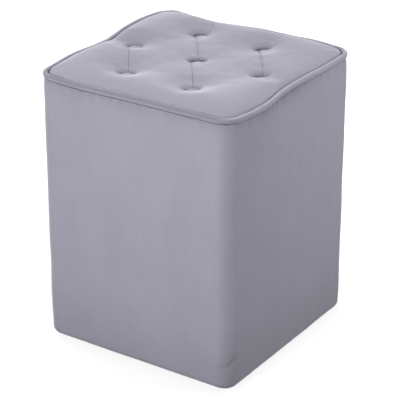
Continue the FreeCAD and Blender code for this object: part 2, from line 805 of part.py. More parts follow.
doc.recompute()
failed = [thing.Name for thing in doc.Objects if {"Invalid", "Error"} & set(thing.State)]
failed += [label for label, piece in pieces.items() if piece.Shape.isNull() or not piece.Shape.isValid()]
if failed:
    raise RuntimeError("not built: " + ", ".join(failed))

os.makedirs("parts", exist_ok=True)
for label, piece in pieces.items():
    piece.Shape.exportStep(f"parts/{label}.step")
    print(label, len(piece.Shape.Solids), "solids", round(piece.Shape.Volume), "mm3")
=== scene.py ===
import math

import bpy
import numpy as np
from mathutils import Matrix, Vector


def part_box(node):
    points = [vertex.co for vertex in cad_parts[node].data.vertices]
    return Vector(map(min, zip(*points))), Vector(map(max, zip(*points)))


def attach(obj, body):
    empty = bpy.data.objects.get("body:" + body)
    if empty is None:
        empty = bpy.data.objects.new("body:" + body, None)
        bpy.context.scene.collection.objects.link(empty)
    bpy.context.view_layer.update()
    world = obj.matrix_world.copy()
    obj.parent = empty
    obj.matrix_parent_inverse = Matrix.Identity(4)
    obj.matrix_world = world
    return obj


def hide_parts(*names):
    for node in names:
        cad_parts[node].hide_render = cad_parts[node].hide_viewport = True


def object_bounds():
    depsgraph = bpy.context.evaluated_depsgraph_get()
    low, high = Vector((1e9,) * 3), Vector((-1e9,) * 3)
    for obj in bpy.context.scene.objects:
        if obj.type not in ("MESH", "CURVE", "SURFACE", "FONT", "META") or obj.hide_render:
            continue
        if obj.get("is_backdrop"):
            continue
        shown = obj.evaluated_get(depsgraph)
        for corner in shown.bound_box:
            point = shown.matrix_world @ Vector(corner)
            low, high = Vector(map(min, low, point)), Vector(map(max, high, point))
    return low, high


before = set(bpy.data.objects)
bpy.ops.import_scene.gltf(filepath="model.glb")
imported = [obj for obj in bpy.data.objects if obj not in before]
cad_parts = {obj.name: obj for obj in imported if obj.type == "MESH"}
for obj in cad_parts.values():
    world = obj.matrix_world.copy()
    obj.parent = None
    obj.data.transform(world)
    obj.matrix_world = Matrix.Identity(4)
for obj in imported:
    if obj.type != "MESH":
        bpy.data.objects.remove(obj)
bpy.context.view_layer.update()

print("frame loaded:", len(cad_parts), "nodes")

# Sizes read from the frame
sideLow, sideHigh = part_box("side_cover")
weltLow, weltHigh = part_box("welt_cover")
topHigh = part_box("top_cover")[1]
dustLow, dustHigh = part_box("dust_cover")
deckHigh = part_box("seat_deck")[1]
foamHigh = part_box("seat_foam")[1]
halfWidth = sideHigh.x
bodyBase = sideLow.z
seamLevel = sideHigh.z
weltRadius = (weltHigh.z - weltLow.z) / 2
weltHalf = weltHigh.x - weltRadius
rimHalf = topHigh.x
crownTop = topHigh.z
sideNames = ("right", "back", "left", "front")

tieNames = ("button_backs", "button_twines", "button_washers")
buttonNames = [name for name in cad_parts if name.startswith("button_") and name not in tieNames]
buttonSpots = {}
for name in sorted(buttonNames):
    low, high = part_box(name)
    buttonSpots[name.removeprefix("button_")] = np.array([(low.x + high.x) / 2, (low.y + high.y) / 2])
buttonLow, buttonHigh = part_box("button_centre")
tuftFloor = buttonLow.z
buttonRadius = (buttonHigh.x - buttonLow.x) / 2
buttonHeight = buttonHigh.z - buttonLow.z


# New objects
def addObject(name, data):
    piece = bpy.data.objects.new(name, data)
    bpy.context.scene.collection.objects.link(piece)
    return piece


def addMesh(name, points, faces):
    mesh = bpy.data.meshes.new(name)
    mesh.from_pydata(points, [], faces)
    return addObject(name, mesh)


# Camera at the photograph's angle
photoView = dict(azimuth=33.76, elevation=25.18, distance=2.840, target=(0.0036, 0.0024, 0.2180), lens=160.77)


def aim(piece, azimuth, elevation, distance):  # off the target and turned to it, azimuth 0 in front
    turn, climb = math.radians(azimuth), math.radians(elevation)
    back = np.array([math.sin(turn) * math.cos(climb), -math.cos(turn) * math.cos(climb), math.sin(climb)])
    piece.location = np.array(photoView["target"]) + distance * back
    piece.rotation_euler = (math.pi / 2 - climb, 0, turn)


def addCamera():
    camera = addObject("camera", bpy.data.cameras.new("camera"))
    aim(camera, photoView["azimuth"], photoView["elevation"], photoView["distance"])
    camera.data.lens = photoView["lens"]
    bpy.context.scene.camera = camera


addCamera()
print("camera set")


# Small maths helpers
def smoothStep(share):
    share = np.clip(share, 0, 1)
    return share * share * (3 - 2 * share)


def smoothThrough(handles, place):  # a smooth line through a few given points
    spots, heights = np.array(handles, float).T
    slopes = np.gradient(heights, spots)
    slopes[[0, -1]] = 0
    number = np.clip(np.searchsorted(spots, place) - 1, 0, len(spots) - 2)
    gap = spots[number + 1] - spots[number]
    share = np.clip((place - spots[number]) / gap, 0, 1)
    keep = (1 + 2 * share) * (1 - share) ** 2
    leave = share * (1 - share) ** 2 * gap * slopes[number]
    arrive = -share ** 2 * (1 - share) * gap * slopes[number + 1]
    return keep * heights[number] + (1 - keep) * heights[number + 1] + leave + arrive


def ripple(points, wavelength, seed, waves=11):  # gentle unevenness from a few crossed waves
    draw = np.random.default_rng(seed)
    total = np.zeros(points.shape[:-1])
    for _ in range(waves):
        heading = draw.normal(size=3)
        heading /= np.linalg.norm(heading)
        pace = 2 * math.pi / (wavelength * draw.uniform(0.7, 1.5))
        total += np.sin(points @ heading * pace + draw.uniform(0, 2 * math.pi))
    return total / math.sqrt(waves)


def length(offset):
    return np.linalg.norm(offset, axis=-1)


def fullTurn(count):  # angles all round
    return np.linspace(0, 2 * math.pi, count, endpoint=False)


def fromLine(points, start, finish):  # distance to a straight stretch, and the share along it
    start, finish = np.array(start), np.array(finish)
    run = finish - start
    share = np.clip(((points - start) @ run) / (run @ run), 0, 1)
    return length(points - start - share[..., None] * run), share


def near(away, width):  # 1 on the spot, fading as a bell does
    return np.exp(-(away / width) ** 2)


def halfWave(share):  # from 1 to 0 along a cosine
    return 0.5 + 0.5 * np.cos(math.pi * np.clip(share, 0, 1))


def withLevel(plan, level):  # flat places made into points
    return np.concatenate([plan, np.broadcast_to(level, plan.shape[:-1])[..., None]], -1)


# Node helpers: an input takes a plain value or another node's output
def addNode(tree, kind, values=None, **settings):  # gives back the outputs
    node = tree.nodes.new(kind if kind.startswith("NodeGroup") else "ShaderNode" + kind)
    for name, value in settings.items():
        setattr(node, name, value)
    for socket, value in (values or {}).items():
        if isinstance(value, bpy.types.NodeSocket):
            tree.links.new(value, node.inputs[socket])
        else:
            node.inputs[socket].default_value = value
    return node.outputs


def plainMath(tree, operation, *inputs, **settings):
    return addNode(tree, "Math", dict(enumerate(inputs)), operation=operation, **settings)[0]


def vectorMath(tree, operation, *inputs):
    sockets = (0, "Scale") if operation == "SCALE" else (0, 1)
    outputs = addNode(tree, "VectorMath", dict(zip(sockets, inputs)), operation=operation)
    return outputs["Value" if operation in ("DOT_PRODUCT", "DISTANCE", "LENGTH") else "Vector"]


def mapRange(tree, value, toRange, fromRange=(0, 1), **settings):
    names = ("Value", "From Min", "From Max", "To Min", "To Max")
    values = dict(zip(names, (value, *fromRange, *toRange)))
    return addNode(tree, "MapRange", values, **settings)["Result"]


def newGroup(name, inputs, outputs):
    group = bpy.data.node_groups.new(name, "ShaderNodeTree")
    for label, kind, value in inputs:
        socket = group.interface.new_socket(label, in_out="INPUT", socket_type="NodeSocket" + kind)
        socket.default_value = value
    for label, kind in outputs:
        group.interface.new_socket(label, in_out="OUTPUT", socket_type="NodeSocket" + kind)
    return group, addNode(group, "NodeGroupInput")


def placeGroup(tree, group, values):
    return addNode(tree, "Group", values, node_tree=group)


def newMaterial(name):
    material = bpy.data.materials.new(name)
    material.use_nodes = True
    material.node_tree.nodes.clear()
    return material, material.node_tree


def addShader(tree, values):
    shader = addNode(tree, "BsdfPrincipled", values)
    addNode(tree, "OutputMaterial", {"Surface": shader["BSDF"]})


def addBump(tree, height, strength, distance):
    return addNode(tree, "Bump", {"Height": height, "Strength": strength, "Distance": distance})["Normal"]


def blendColours(tree, mask, first, second):
    return addNode(tree, "Mix", {0: mask, 6: first, 7: second}, data_type="RGBA")[2]


def objectPlace(tree):  # metres in the shared frame
    return addNode(tree, "TexCoord")["Object"]


def scaledNoise(tree, place, stretch, values):  # noise stretched along the axes
    mapping = addNode(tree, "Mapping", {"Vector": place, "Scale": stretch})["Vector"]
    return addNode(tree, "TexNoise", {"Vector": mapping, **values})["Fac"]


patternOutputs = [("Color", "Color"), ("Height", "Float"), ("Roughness", "Float")]


# Velvet nap: soft mottling, brushed streaks and the pile itself
def makeNapGroup():
    group, source = newGroup(
        "velvetNap",
        [("Base", "Color", (0.4, 0.4, 0.45, 1)), ("Mottle", "Float", 0.1), ("Streak", "Float", 0.06),
         ("Pile", "Float", 0.08)], patternOutputs)
    place = objectPlace(group)
    mottle = scaledNoise(group, place, (16, 16, 12), {"Scale": 1, "Detail": 3, "Roughness": 0.55})
    streak = scaledNoise(group, place, (75, 75, 12), {"Scale": 1, "Detail": 2, "Distortion": 0.4})
    pile = scaledNoise(group, place, (620, 620, 480), {"Scale": 1, "Detail": 2, "Roughness": 0.65})
    total = 1
    for noise, label in ((mottle, "Mottle"), (streak, "Streak"), (pile, "Pile")):
        centred = plainMath(group, "SUBTRACT", noise, 0.5)
        total = plainMath(group, "MULTIPLY_ADD", centred, source[label], total)
    addNode(group, "NodeGroupOutput", {
        "Color": vectorMath(group, "SCALE", source["Base"], total),
        "Height": plainMath(group, "MULTIPLY_ADD", streak, 0.35, pile),
        "Roughness": mapRange(group, mottle, (0.82, 0.98))})
    return group


# Painted shade along a fold: a thin dark line from one place to the next, seen from above
def makeFoldGroup():
    group, source = newGroup(
        "foldLine",
        [("Start", "Vector", (0, 0, 0)), ("Finish", "Vector", (0, 1, 0)), ("Width", "Float", 0.001),
         ("Strength", "Float", 0.5)], [("Mask", "Float")])
    flat = vectorMath(group, "MULTIPLY", objectPlace(group), (1, 1, 0))
    offset = vectorMath(group, "SUBTRACT", flat, source["Start"])
    run = vectorMath(group, "SUBTRACT", source["Finish"], source["Start"])
    reach = vectorMath(group, "DOT_PRODUCT", offset, run)
    whole = vectorMath(group, "DOT_PRODUCT", run, run)
    share = plainMath(group, "DIVIDE", reach, whole, use_clamp=True)
    away = vectorMath(group, "DISTANCE", offset, vectorMath(group, "SCALE", run, share))
    line = mapRange(group, away, (1, 0), (0, source["Width"]), interpolation_type="SMOOTHSTEP")
    addNode(group, "NodeGroupOutput", {"Mask": plainMath(group, "MULTIPLY", line, source["Strength"])})
    return group


velvet = dict(base=(0.283, 0.277, 0.332, 1), mottle=0.15, streak=0.09, pile=0.18, bump=0.3, bumpDepth=0.0007,
              sheen=0.9, sheenRoughness=0.38, sheenTint=(0.86, 0.85, 0.95, 1), specular=0.12)
napGroup = makeNapGroup()
foldGroup = makeFoldGroup()
paintedShadeTone = (0.040, 0.039, 0.047, 1)  # painted shade: the dark tone blended in at folds, seams, tufts and towards the base
foldShade = dict(width=0.0012, strength=0.46, groove=0.5, depth=0.0004)


def velvetMaterial(name, folds=(), withPaintedShade=True):  # the flag turns on painted shade, read from the mesh's point attribute
    material, tree = newMaterial(name)
    labels = ("Base", "Mottle", "Streak", "Pile")
    nap = placeGroup(tree, napGroup, {label: velvet[label.lower()] for label in labels})
    colour = nap["Color"]
    normal = addBump(tree, nap["Height"], velvet["bump"], velvet["bumpDepth"])
    # Painted shade: the fold lines and the mesh's shade attribute blend the colour towards the dark tone
    masks = []
    for start, finish in folds:
        masks.append(placeGroup(tree, foldGroup, {
            "Start": (*start, 0), "Finish": (*finish, 0),
            "Width": foldShade["width"], "Strength": foldShade["strength"]})["Mask"])
    if withPaintedShade:
        masks.append(addNode(tree, "Attribute", attribute_name="paintedShade")["Fac"])
    if masks:
        total = masks[0]
        for mask in masks[1:]:
            total = plainMath(tree, "MAXIMUM", total, mask)
        colour = blendColours(tree, total, colour, paintedShadeTone)
    if folds:
        groove = {"Height": total, "Normal": normal,
                  "Strength": foldShade["groove"], "Distance": foldShade["depth"]}
        normal = addNode(tree, "Bump", groove, invert=True)["Normal"]
    addShader(tree, {
        "Base Color": colour, "Roughness": nap["Roughness"], "Normal": normal,
        "Specular IOR Level": velvet["specular"], "Sheen Weight": velvet["sheen"],
        "Sheen Roughness": velvet["sheenRoughness"], "Sheen Tint": velvet["sheenTint"]})
    return material


sideVelvet = velvetMaterial("velvetSides")
weltVelvet = velvetMaterial("velvetPiping")
buttonVelvet = velvetMaterial("velvetButtons", withPaintedShade=False)


# Sawn wood: growth rings drawn out along one axis, with pores
def makeGrainGroup():
    group, source = newGroup(
        "sawnGrain",
        [("Light", "Color", (0.7, 0.5, 0.3, 1)), ("Dark", "Color", (0.5, 0.3, 0.2, 1)),
         ("Spacing", "Float", 60.0), ("Along", "Vector", (1, 1, 0.1))], patternOutputs)
    stretch = vectorMath(group, "MULTIPLY", objectPlace(group), source["Along"])
    ringValues = {"Vector": stretch, "Scale": source["Spacing"], "Distortion": 7, "Detail": 3,
                  "Detail Scale": 1.4}
    rings = addNode(group, "TexWave", ringValues, bands_direction="DIAGONAL")["Fac"]
    poreValues = {"Vector": stretch, "Scale": 900, "Detail": 3, "Roughness": 0.7}
    pores = addNode(group, "TexNoise", poreValues)["Fac"]
    addNode(group, "NodeGroupOutput", {
        "Color": blendColours(group, rings, source["Light"], source["Dark"]),
        "Height": plainMath(group, "MULTIPLY_ADD", rings, 0.5, pores),
        "Roughness": mapRange(group, pores, (0.55, 0.85))})
    return group


grainGroup = makeGrainGroup()
woodShine, woodBump = 0.3, (0.3, 0.0004)
pine = dict(Light=(0.74, 0.55, 0.33, 1), Dark=(0.60, 0.39, 0.20, 1), Spacing=45)
woods = dict(
    pine=dict(pine, Along=(1, 1, 0.12)), pineRight=dict(pine, Along=(1, 0.12, 1)),
    pineFront=dict(pine, Along=(0.12, 1, 1)),
    beech=dict(Light=(0.63, 0.44, 0.28, 1), Dark=(0.53, 0.34, 0.20, 1), Spacing=90, Along=(1, 1, 1)),
    plywood=dict(Light=(0.68, 0.51, 0.33, 1), Dark=(0.55, 0.37, 0.21, 1), Spacing=110, Along=(0.08, 0.5, 3)),
    hardboard=dict(Light=(0.32, 0.20, 0.12, 1), Dark=(0.24, 0.14, 0.08, 1), Spacing=400, Along=(1, 1, 1)))


def woodMaterial(name):
    material, tree = newMaterial(name)
    grain = placeGroup(tree, grainGroup, woods[name])
    addShader(tree, {
        "Base Color": grain["Color"], "Roughness": grain["Roughness"], "Specular IOR Level": woodShine,
        "Normal": addBump(tree, grain["Height"], *woodBump)})
    return material


# Finishes that one texture makes: it sets the tone, the roughness and the bump
twist = dict(texture="Wave", values={"Scale": 1, "Distortion": 1.5, "Detail": 2}, stretch=(170, 170, 240),
             roughness=(0.75, 0.95), bump=(0.5, 0.0005), shader={"Specular IOR Level": 0.2})
toned = dict(
    twine=dict(twist, tones=((0.66, 0.62, 0.52, 1), (0.84, 0.80, 0.70, 1))),
    pipingCord=dict(twist, tones=((0.62, 0.61, 0.57, 1), (0.78, 0.77, 0.73, 1))),
    seatFoam=dict(  # open cells of a pale upholstery foam
        texture="Voronoi", values={"Scale": 1, "Randomness": 1}, stretch=(900, 900, 900),
        roughness=(0.85, 0.98), bump=(0.6, 0.0006), shader={"Specular IOR Level": 0.15},
        tones=((0.70, 0.63, 0.42, 1), (0.86, 0.80, 0.60, 1))),
    steel=dict(  # zinc plated wire and sheet
        texture="Noise", values={"Scale": 1, "Detail": 4, "Roughness": 0.6}, stretch=(260, 260, 900),
        roughness=(0.25, 0.5), bump=(0.15, 0.0001), shader={"Metallic": 1.0},
        tones=((0.52, 0.52, 0.53, 1), (0.72, 0.72, 0.71, 1))),
    nylon=dict(  # moulded glide with a fine spark texture
        texture="Noise", values={"Scale": 1, "Detail": 3, "Roughness": 0.7}, stretch=(1100, 1100, 1100),
        roughness=(0.38, 0.62), bump=(0.2, 0.0002), shader={"Specular IOR Level": 0.45},
        tones=((0.028, 0.028, 0.03, 1), (0.055, 0.055, 0.058, 1))))


def tonedMaterial(name):
    kind = toned[name]
    material, tree = newMaterial(name)
    mapping = addNode(tree, "Mapping", {"Vector": objectPlace(tree), "Scale": kind["stretch"]})
    texture = addNode(tree, "Tex" + kind["texture"], {"Vector": mapping["Vector"], **kind["values"]})
    pattern = texture["Distance" if kind["texture"] == "Voronoi" else "Fac"]
    addShader(tree, {
        "Base Color": blendColours(tree, pattern, *kind["tones"]),
        "Roughness": mapRange(tree, pattern, kind["roughness"]),
        "Normal": addBump(tree, pattern, *kind["bump"]), **kind["shader"]})
    return material


def nonwovenMaterial(name):  # black spunbond cloth with its embossed dots
    material, tree = newMaterial(name)
    place = objectPlace(tree)
    dots = addNode(tree, "TexVoronoi", {"Vector": place, "Scale": 430, "Randomness": 0.0})
    fibreValues = {"Vector": place, "Scale": 260, "Detail": 5, "Roughness": 0.75, "Distortion": 1.2}
    fibres = addNode(tree, "TexNoise", fibreValues)["Fac"]
    pressed = mapRange(tree, dots["Distance"], (0, 1), (0.2, 0.45))
    height = plainMath(tree, "MULTIPLY_ADD", fibres, 0.5, pressed)
    addShader(tree, {
        "Base Color": blendColours(tree, fibres, (0.020, 0.020, 0.022, 1), (0.055, 0.055, 0.058, 1)),
        "Roughness": mapRange(tree, pressed, (0.6, 0.9)), "Specular IOR Level": 0.25,
        "Normal": addBump(tree, height, 0.5, 0.0004)})
    return material


dustMaterial = nonwovenMaterial("dustCloth")
finishes = {name: tonedMaterial(name) for name in toned}
finishes.update({name: woodMaterial(name) for name in woods})
nodeFinish = [  # the first row that a CAD node's name starts with gives its finish
    (("rail_dowels",), "beech"), (("seat_deck",), "plywood"), (("button_twines",), "twine"),
    (("deck_screws", "brace_screws", "panel_pins", "hem_staples", "dust_cover_staples", "glide_screws",
      "button_backs", "button_washers"), "steel"),
    (("post_", "brace_"), "pine"), (("panel_",), "hardboard"), (("glide_",), "nylon"),
    (("top_rail_right", "top_rail_left", "bottom_rail_right", "bottom_rail_left"), "pineRight"),
    (("top_rail_", "bottom_rail_"), "pineFront")]
for name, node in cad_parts.items():
    for starts, finish in nodeFinish:
        if name.startswith(starts):
            node.data.materials.clear()
            node.data.materials.append(finishes[finish])
            break
print("materials made")


# The body's outline: places round a rounded square, given by side, run along the flat and bend round a corner
body = dict(cornerRadius=0.025, cover=0.0012, shoulder=0.0016, baseEdge=0.0112, hem=0.050,
            leastRadius=0.002, flatColumns=89, cornerColumns=20, bow=0.0014, drawnIn=0.0009)
seamOut = dict(  # how far the seam is pushed out or pulled in along each side
    right=[(-0.172, 0), (-0.091, 0.0030), (-0.007, -0.0066), (0.119, -0.0017), (0.172, 0)],
    back=[(-0.172, 0), (-0.100, 0.0042), (-0.056, 0.0014), (-0.021, 0.0032), (0.082, -0.0086),
          (0.140, -0.0025), (0.172, 0.0006)],
    left=[(-0.172, 0.0006), (-0.150, 0.0052), (-0.112, 0.0098), (-0.070, 0.0090), (0.010, -0.0014),
          (0.085, 0.0022), (0.150, 0.0004), (0.172, 0)],
    front=[(-0.172, 0), (-0.105, 0.0025), (0, 0), (0.172, 0)])
seamUp = dict(  # how far it rises, most at the corners and the back
    right=[(-0.175, 0.0029), (-0.110, 0.0002), (0.040, -0.0004), (0.110, 0.0006), (0.175, 0.0038)],
    back=[(-0.175, 0.0044), (-0.100, 0.0058), (0.0, 0.0052), (0.100, 0.0046), (0.175, 0.0054)],
    left=[(-0.175, 0.0054), (-0.110, 0.0064), (0.0, 0.0052), (0.085, 0.0066), (0.175, 0.0042)],
    front=[(-0.175, 0.0037), (-0.115, 0.0023), (0.0, 0.0020), (0.115, 0.0021), (0.175, 0.0029)])
seamDark = dict(  # how deep the painted shade under the seam is
    right=[(-0.175, 0.40), (-0.120, 0.60), (-0.060, 0.85), (0.020, 0.85), (0.090, 0.50), (0.175, 0.40)],
    back=[(-0.175, 0.40), (0.175, 0.40)], left=[(-0.175, 0.40), (0.175, 0.40)],
    front=[(-0.175, 0.46), (0.175, 0.46)])
waveReach, liftReach, waveFade = 0.055, 0.045, 1.5
eighth = math.pi / 4  # a corner bends this far to each side


def edgeSpots(side, run, bend, inset):  # place and outward direction
    radius = np.maximum(body["cornerRadius"] - inset, body["leastRadius"])
    flat = halfWidth - inset - radius
    out = flat + radius * np.cos(bend)
    along = flat * run + radius * np.sin(bend)
    turn = side * math.pi / 2
    sine, cosine = np.sin(turn), np.cos(turn)
    spots = np.stack([out * cosine - along * sine, out * sine + along * cosine], -1)
    outward = np.stack([np.cos(turn + bend), np.sin(turn + bend)], -1)
    return spots, outward


def edgePull(handles, side, run, bend):
    along = (halfWidth - body["cornerRadius"]) * run + body["cornerRadius"] * bend / eighth
    pull = np.zeros(along.shape)
    for number, name in enumerate(sideNames):
        here = side == number
        pull[here] = smoothThrough(handles[name], along[here])
    return pull


def makeLoop():  # the columns round the body
    half = body["cornerColumns"] // 2
    bends = np.concatenate([
        np.linspace(-eighth, 0, half, endpoint=False), np.zeros(body["flatColumns"]),
        np.linspace(0, eighth, half, endpoint=False)[1:]])
    runs = np.concatenate([
        -np.ones(half), np.linspace(-1, 1, body["flatColumns"]), np.ones(half - 1)])
    count = len(bends)
    return np.repeat(np.arange(4), count), np.tile(runs, 4), np.tile(bends, 4)


loopSide, loopRun, loopBend = makeLoop()
loopOut = edgePull(seamOut, loopSide, loopRun, loopBend)
loopUp = edgePull(seamUp, loopSide, loopRun, loopBend)
loopDark = edgePull(seamDark, loopSide, loopRun, loopBend)
loopCorner = np.abs(loopBend) / eighth
loopCount = len(loopSide)


def loopFaces(rows, columns, closed=False):  # quads of a wrapped grid, facing outward when rows run downward
    row, column = np.meshgrid(np.arange(rows if closed else rows - 1), np.arange(columns), indexing="ij")
    below, beside = (row + 1) % rows, (column + 1) % columns
    quads = [(row, column), (below, column), (below, beside), (row, beside)]
    return np.stack([down * columns + aside for down, aside in quads], -1).reshape(-1, 4)


def gridFaces(rows, columns):  # quads of a flat grid, facing up
    row, column = np.meshgrid(np.arange(rows - 1), np.arange(columns - 1), indexing="ij")
    first = row * columns + column
    return np.stack([first, first + 1, first + columns + 1, first + columns], -1).reshape(-1, 4)


def rimNumbers(count):  # the points round a square grid, in order
    number = np.arange(count * count).reshape(count, count)
    return np.concatenate([number[0, :-1], number[:-1, -1], number[-1, :0:-1], number[:0:-1, 0]])


def makePiece(name, points, faces, material, replaced, thick=0.0, shade=None):
    places = np.asarray(points).reshape(-1, 3).tolist()
    piece = addMesh(name, places, [list(map(int, face)) for face in faces])
    mesh = piece.data
    mesh.polygons.foreach_set("use_smooth", np.ones(len(mesh.polygons), dtype=bool))
    mesh.materials.append(material)
    # painted shade, kept on each point for the velvet's colour
    if shade is not None:
        mesh.attributes.new("paintedShade", "FLOAT", "POINT").data.foreach_set("value", np.ravel(shade))
    if thick:
        solid = piece.modifiers.new("thickness", "SOLIDIFY")
        solid.thickness = thick
        solid.offset = -1
        bpy.context.view_layer.objects.active = piece
        bpy.ops.object.modifier_apply(modifier=solid.name)
    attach(piece, "root")
    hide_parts(*replaced)
    return piece


# Side cover: one velvet sleeve from the seam, down the sides and under the base to its stapled hem
sleeve = dict(rows=(5, 49, 25, 9, 9),  # of the shoulder, the drop, the crease zone, the base edge and the hem
              flange=(0.013, 0.010, 0.006), creaseZone=0.085, crowding=1.6, hemFlat=0.030, hemBlend=0.02,
              tuck=0.0022, tuckReach=0.0055, drawnTop=0.070, drawnOver=0.065,
              ripple=0.00035, rippleWave=0.10, fineRipple=0.00009, fineWave=0.028,
              seamGroove=0.0007, seamWidth=0.0026, seamPull=0.0002, seamReach=0.012, stitch=0.013,
              # the shade values are painted shade: under the seam, in its puckers and towards the base
              lineShade=0.92, lineReach=0.0010, frontLine=0.0013, softShade=0.55, softReach=0.010,
              puckerShade=0.25, shadeWave=0.012, shadeTall=0.12, baseShade=0.15, baseReach=0.130)
seamPucker = dict(size=0.00028, reach=0.020, wave=0.016, tall=0.10, seed=31,
                  least=0.45, most=0.006, full=0.004)
basePucker = dict(size=0.0004, reach=0.022, wave=0.014, tall=0.2, seed=32, least=0.25)
sideCreases = [  # small creases seen in the photograph, each with a painted shade along it
    dict(start=(0.1690, -0.1660, 0.0510), finish=(0.1744, -0.1556, 0.0625),
         depth=0.0012, width=0.0026, shade=0.26),
    dict(start=(0.1550, -0.1745, 0.0480), finish=(0.1690, -0.1660, 0.0505),
         depth=0.0006, width=0.0030, shade=0.12),
    dict(start=(0.131, -0.175, 0.239), finish=(0.129, -0.175, 0.206), depth=0.0003, width=0.0030, shade=0.04),
    dict(start=(0.175, 0.086, 0.350), finish=(0.175, 0.104, 0.326), depth=0.0003, width=0.0035, shade=0.03)]


def sleeveProfile():  # insets and levels from the seam down to the hem
    shoulder, edge, flange = body["shoulder"], body["baseEdge"], sleeve["flange"]
    shoulderRows, dropRows, creaseRows, edgeRows, hemRows = sleeve["rows"]
    top, low, zone = seamLevel - shoulder, bodyBase + edge, sleeve["creaseZone"]
    turn = np.linspace(0, math.pi / 2, shoulderRows)
    baseTurn = np.linspace(0, math.pi / 2, edgeRows)[1:]
    drop = top + (zone - top) * np.linspace(0, 1, dropRows)[1:] ** sleeve["crowding"]
    drop = np.concatenate([drop, np.linspace(zone, low, creaseRows)[1:]])
    under = np.linspace(edge, body["hem"], hemRows)[1:]
    insets = [flange, shoulder * (1 - np.sin(turn)), np.zeros(len(drop)),
              edge * (1 - np.cos(baseTurn)), under]
    levels = [np.full(len(flange), seamLevel), seamLevel - shoulder * (1 - np.cos(turn)), drop,
              low - edge * np.sin(baseTurn), np.full(len(under), bodyBase)]
    return np.concatenate(insets), np.concatenate(levels)


def puckers(points, kind, away):
    return kind["size"] * np.exp(-away / kind["reach"]) * ripple(
        points * (1, 1, kind["tall"]), kind["wave"], kind["seed"])


def sleevePush(spots, levels):  # how far the velvet stands out from, or is drawn in to, the plain form
    points = withLevel(spots, levels)
    middle, tall = (seamLevel + bodyBase) / 2, (seamLevel - bodyBase) / 2
    centre = np.clip(1 - ((levels - middle) / tall) ** 2, 0, 1)
    depth, rise = np.maximum(seamLevel - levels, 0), np.maximum(levels - bodyBase, 0)
    tight = seamPucker["least"] + np.clip(-loopOut, 0, seamPucker["most"]) / seamPucker["full"]
    push = body["bow"] * centre * (1 - loopRun ** 4)
    push -= body["drawnIn"] * smoothStep((sleeve["drawnTop"] - levels) / sleeve["drawnOver"])
    push += loopOut * np.exp(-(depth / waveReach) ** waveFade)
    push -= sleeve["tuck"] * np.exp(-depth / sleeve["tuckReach"])
    push += tight * puckers(points, seamPucker, depth)
    push += (basePucker["least"] + loopCorner) * puckers(points, basePucker, rise)
    push += sleeve["ripple"] * ripple(points, sleeve["rippleWave"], 33)
    push += sleeve["fineRipple"] * ripple(points, sleeve["fineWave"], 34)
    for crease in sideCreases:
        away, share = fromLine(points, crease["start"], crease["finish"])
        push -= crease["depth"] * near(away, crease["width"]) * np.sin(math.pi * (0.1 + 0.8 * share))
    seamSpot = np.array([-1, 1]) * (halfWidth - body["cornerRadius"] * (1 - math.sqrt(0.5)))
    away = length(spots - seamSpot)  # from the closing seam at the back left corner
    push -= sleeve["seamGroove"] * near(away, sleeve["seamWidth"])
    stitches = np.sin(levels * 2 * math.pi / sleeve["stitch"])
    return push + sleeve["seamPull"] * near(away, sleeve["seamReach"]) * stitches


def sleeveLayer(insets, levels, shares):  # shares: how much of the push and the lift each row takes
    rows = []
    for inset, level, share in zip(insets, levels, shares):
        spots, outward = edgeSpots(loopSide, loopRun, loopBend, inset)
        push = sleevePush(spots, np.full(loopCount, level)) * share
        lift = loopUp * math.exp(-(max(seamLevel - level, 0) / liftReach) ** waveFade) * share
        rows.append(withLevel(spots + outward * push[:, None], level + lift))
    return np.stack(rows)


def makeSideCover():
    insets, levels = sleeveProfile()
    under = np.clip((sleeve["hemFlat"] - insets) / sleeve["hemBlend"], 0, 1)  # the hem lies flat on the rails
    points = sleeveLayer(insets, levels, np.where(levels < bodyBase + 0.0005, under, 1))
    faces = loopFaces(len(insets), loopCount)
    # Painted shade: a dark line and a soft shadow under the seam, darkening towards the base and along the
    # creases
    depth = np.maximum(seamLevel - levels, 0)[:, None]
    lineReach = np.where(loopSide == 3, sleeve["frontLine"], sleeve["lineReach"])
    uneven = ripple(points * (1, 1, sleeve["shadeTall"]), sleeve["shadeWave"], 35)
    soft = sleeve["softShade"] * loopDark * (1 + sleeve["puckerShade"] * uneven)
    soft = soft * np.exp(-depth / sleeve["softReach"])
    shade = np.maximum(sleeve["lineShade"] * near(depth, lineReach), soft)
    reach = sleeve["baseReach"]
    shade = np.maximum(shade, sleeve["baseShade"] * smoothStep((reach - levels) / reach)[:, None])
    for crease in sideCreases:
        away = fromLine(points, crease["start"], crease["finish"])[0]
        shade = shade + crease["shade"] * near(away, crease["width"])
    cover = makePiece("sideCover", points, faces, sideVelvet, ["side_cover"], body["cover"], shade)


makeSideCover()
print("side cover made")


# Foam wrapped round the frame, under the side cover
wrap = dict(gap=0.0014, thick=0.0100, low=0.0067, high=0.4406, ledge=0.008, topRound=0.0035, baseRound=0.0098,
            clear=0.002, fade=0.030)


def makeSideFoam():
    gap, low, high = wrap["gap"], wrap["low"], wrap["high"]
    topRound, baseRound = wrap["topRound"], wrap["baseRound"]
    inner = gap + wrap["thick"]
    turn = np.linspace(0, math.pi / 2, 6)
    drop = np.linspace(high - topRound, low + baseRound, 28)[1:]
    climb = np.linspace(low, high, 24)[:-1]
    insets = np.concatenate([
        [inner, wrap["ledge"]], gap + topRound * (1 - np.sin(turn)), np.full(len(drop), gap),
        gap + baseRound * (1 - np.cos(turn[1:])), np.full(len(climb), inner)])
    levels = np.concatenate([
        [high, high], high - topRound * (1 - np.cos(turn)), drop,
        low + baseRound * (1 - np.sin(turn[1:])), climb])
    aboveDeck = smoothStep((levels - deckHigh.z - wrap["clear"]) / wrap["fade"])
    shares = np.where(insets > inner - 0.001, aboveDeck, 1)  # the inner face stays off the frame
    points = sleeveLayer(insets, levels, shares)
    faces = loopFaces(len(insets), loopCount, closed=True)
    foam = makePiece("sideFoam", points, faces, finishes["seatFoam"], ["side_foam"])


makeSideFoam()
print("side foam made")


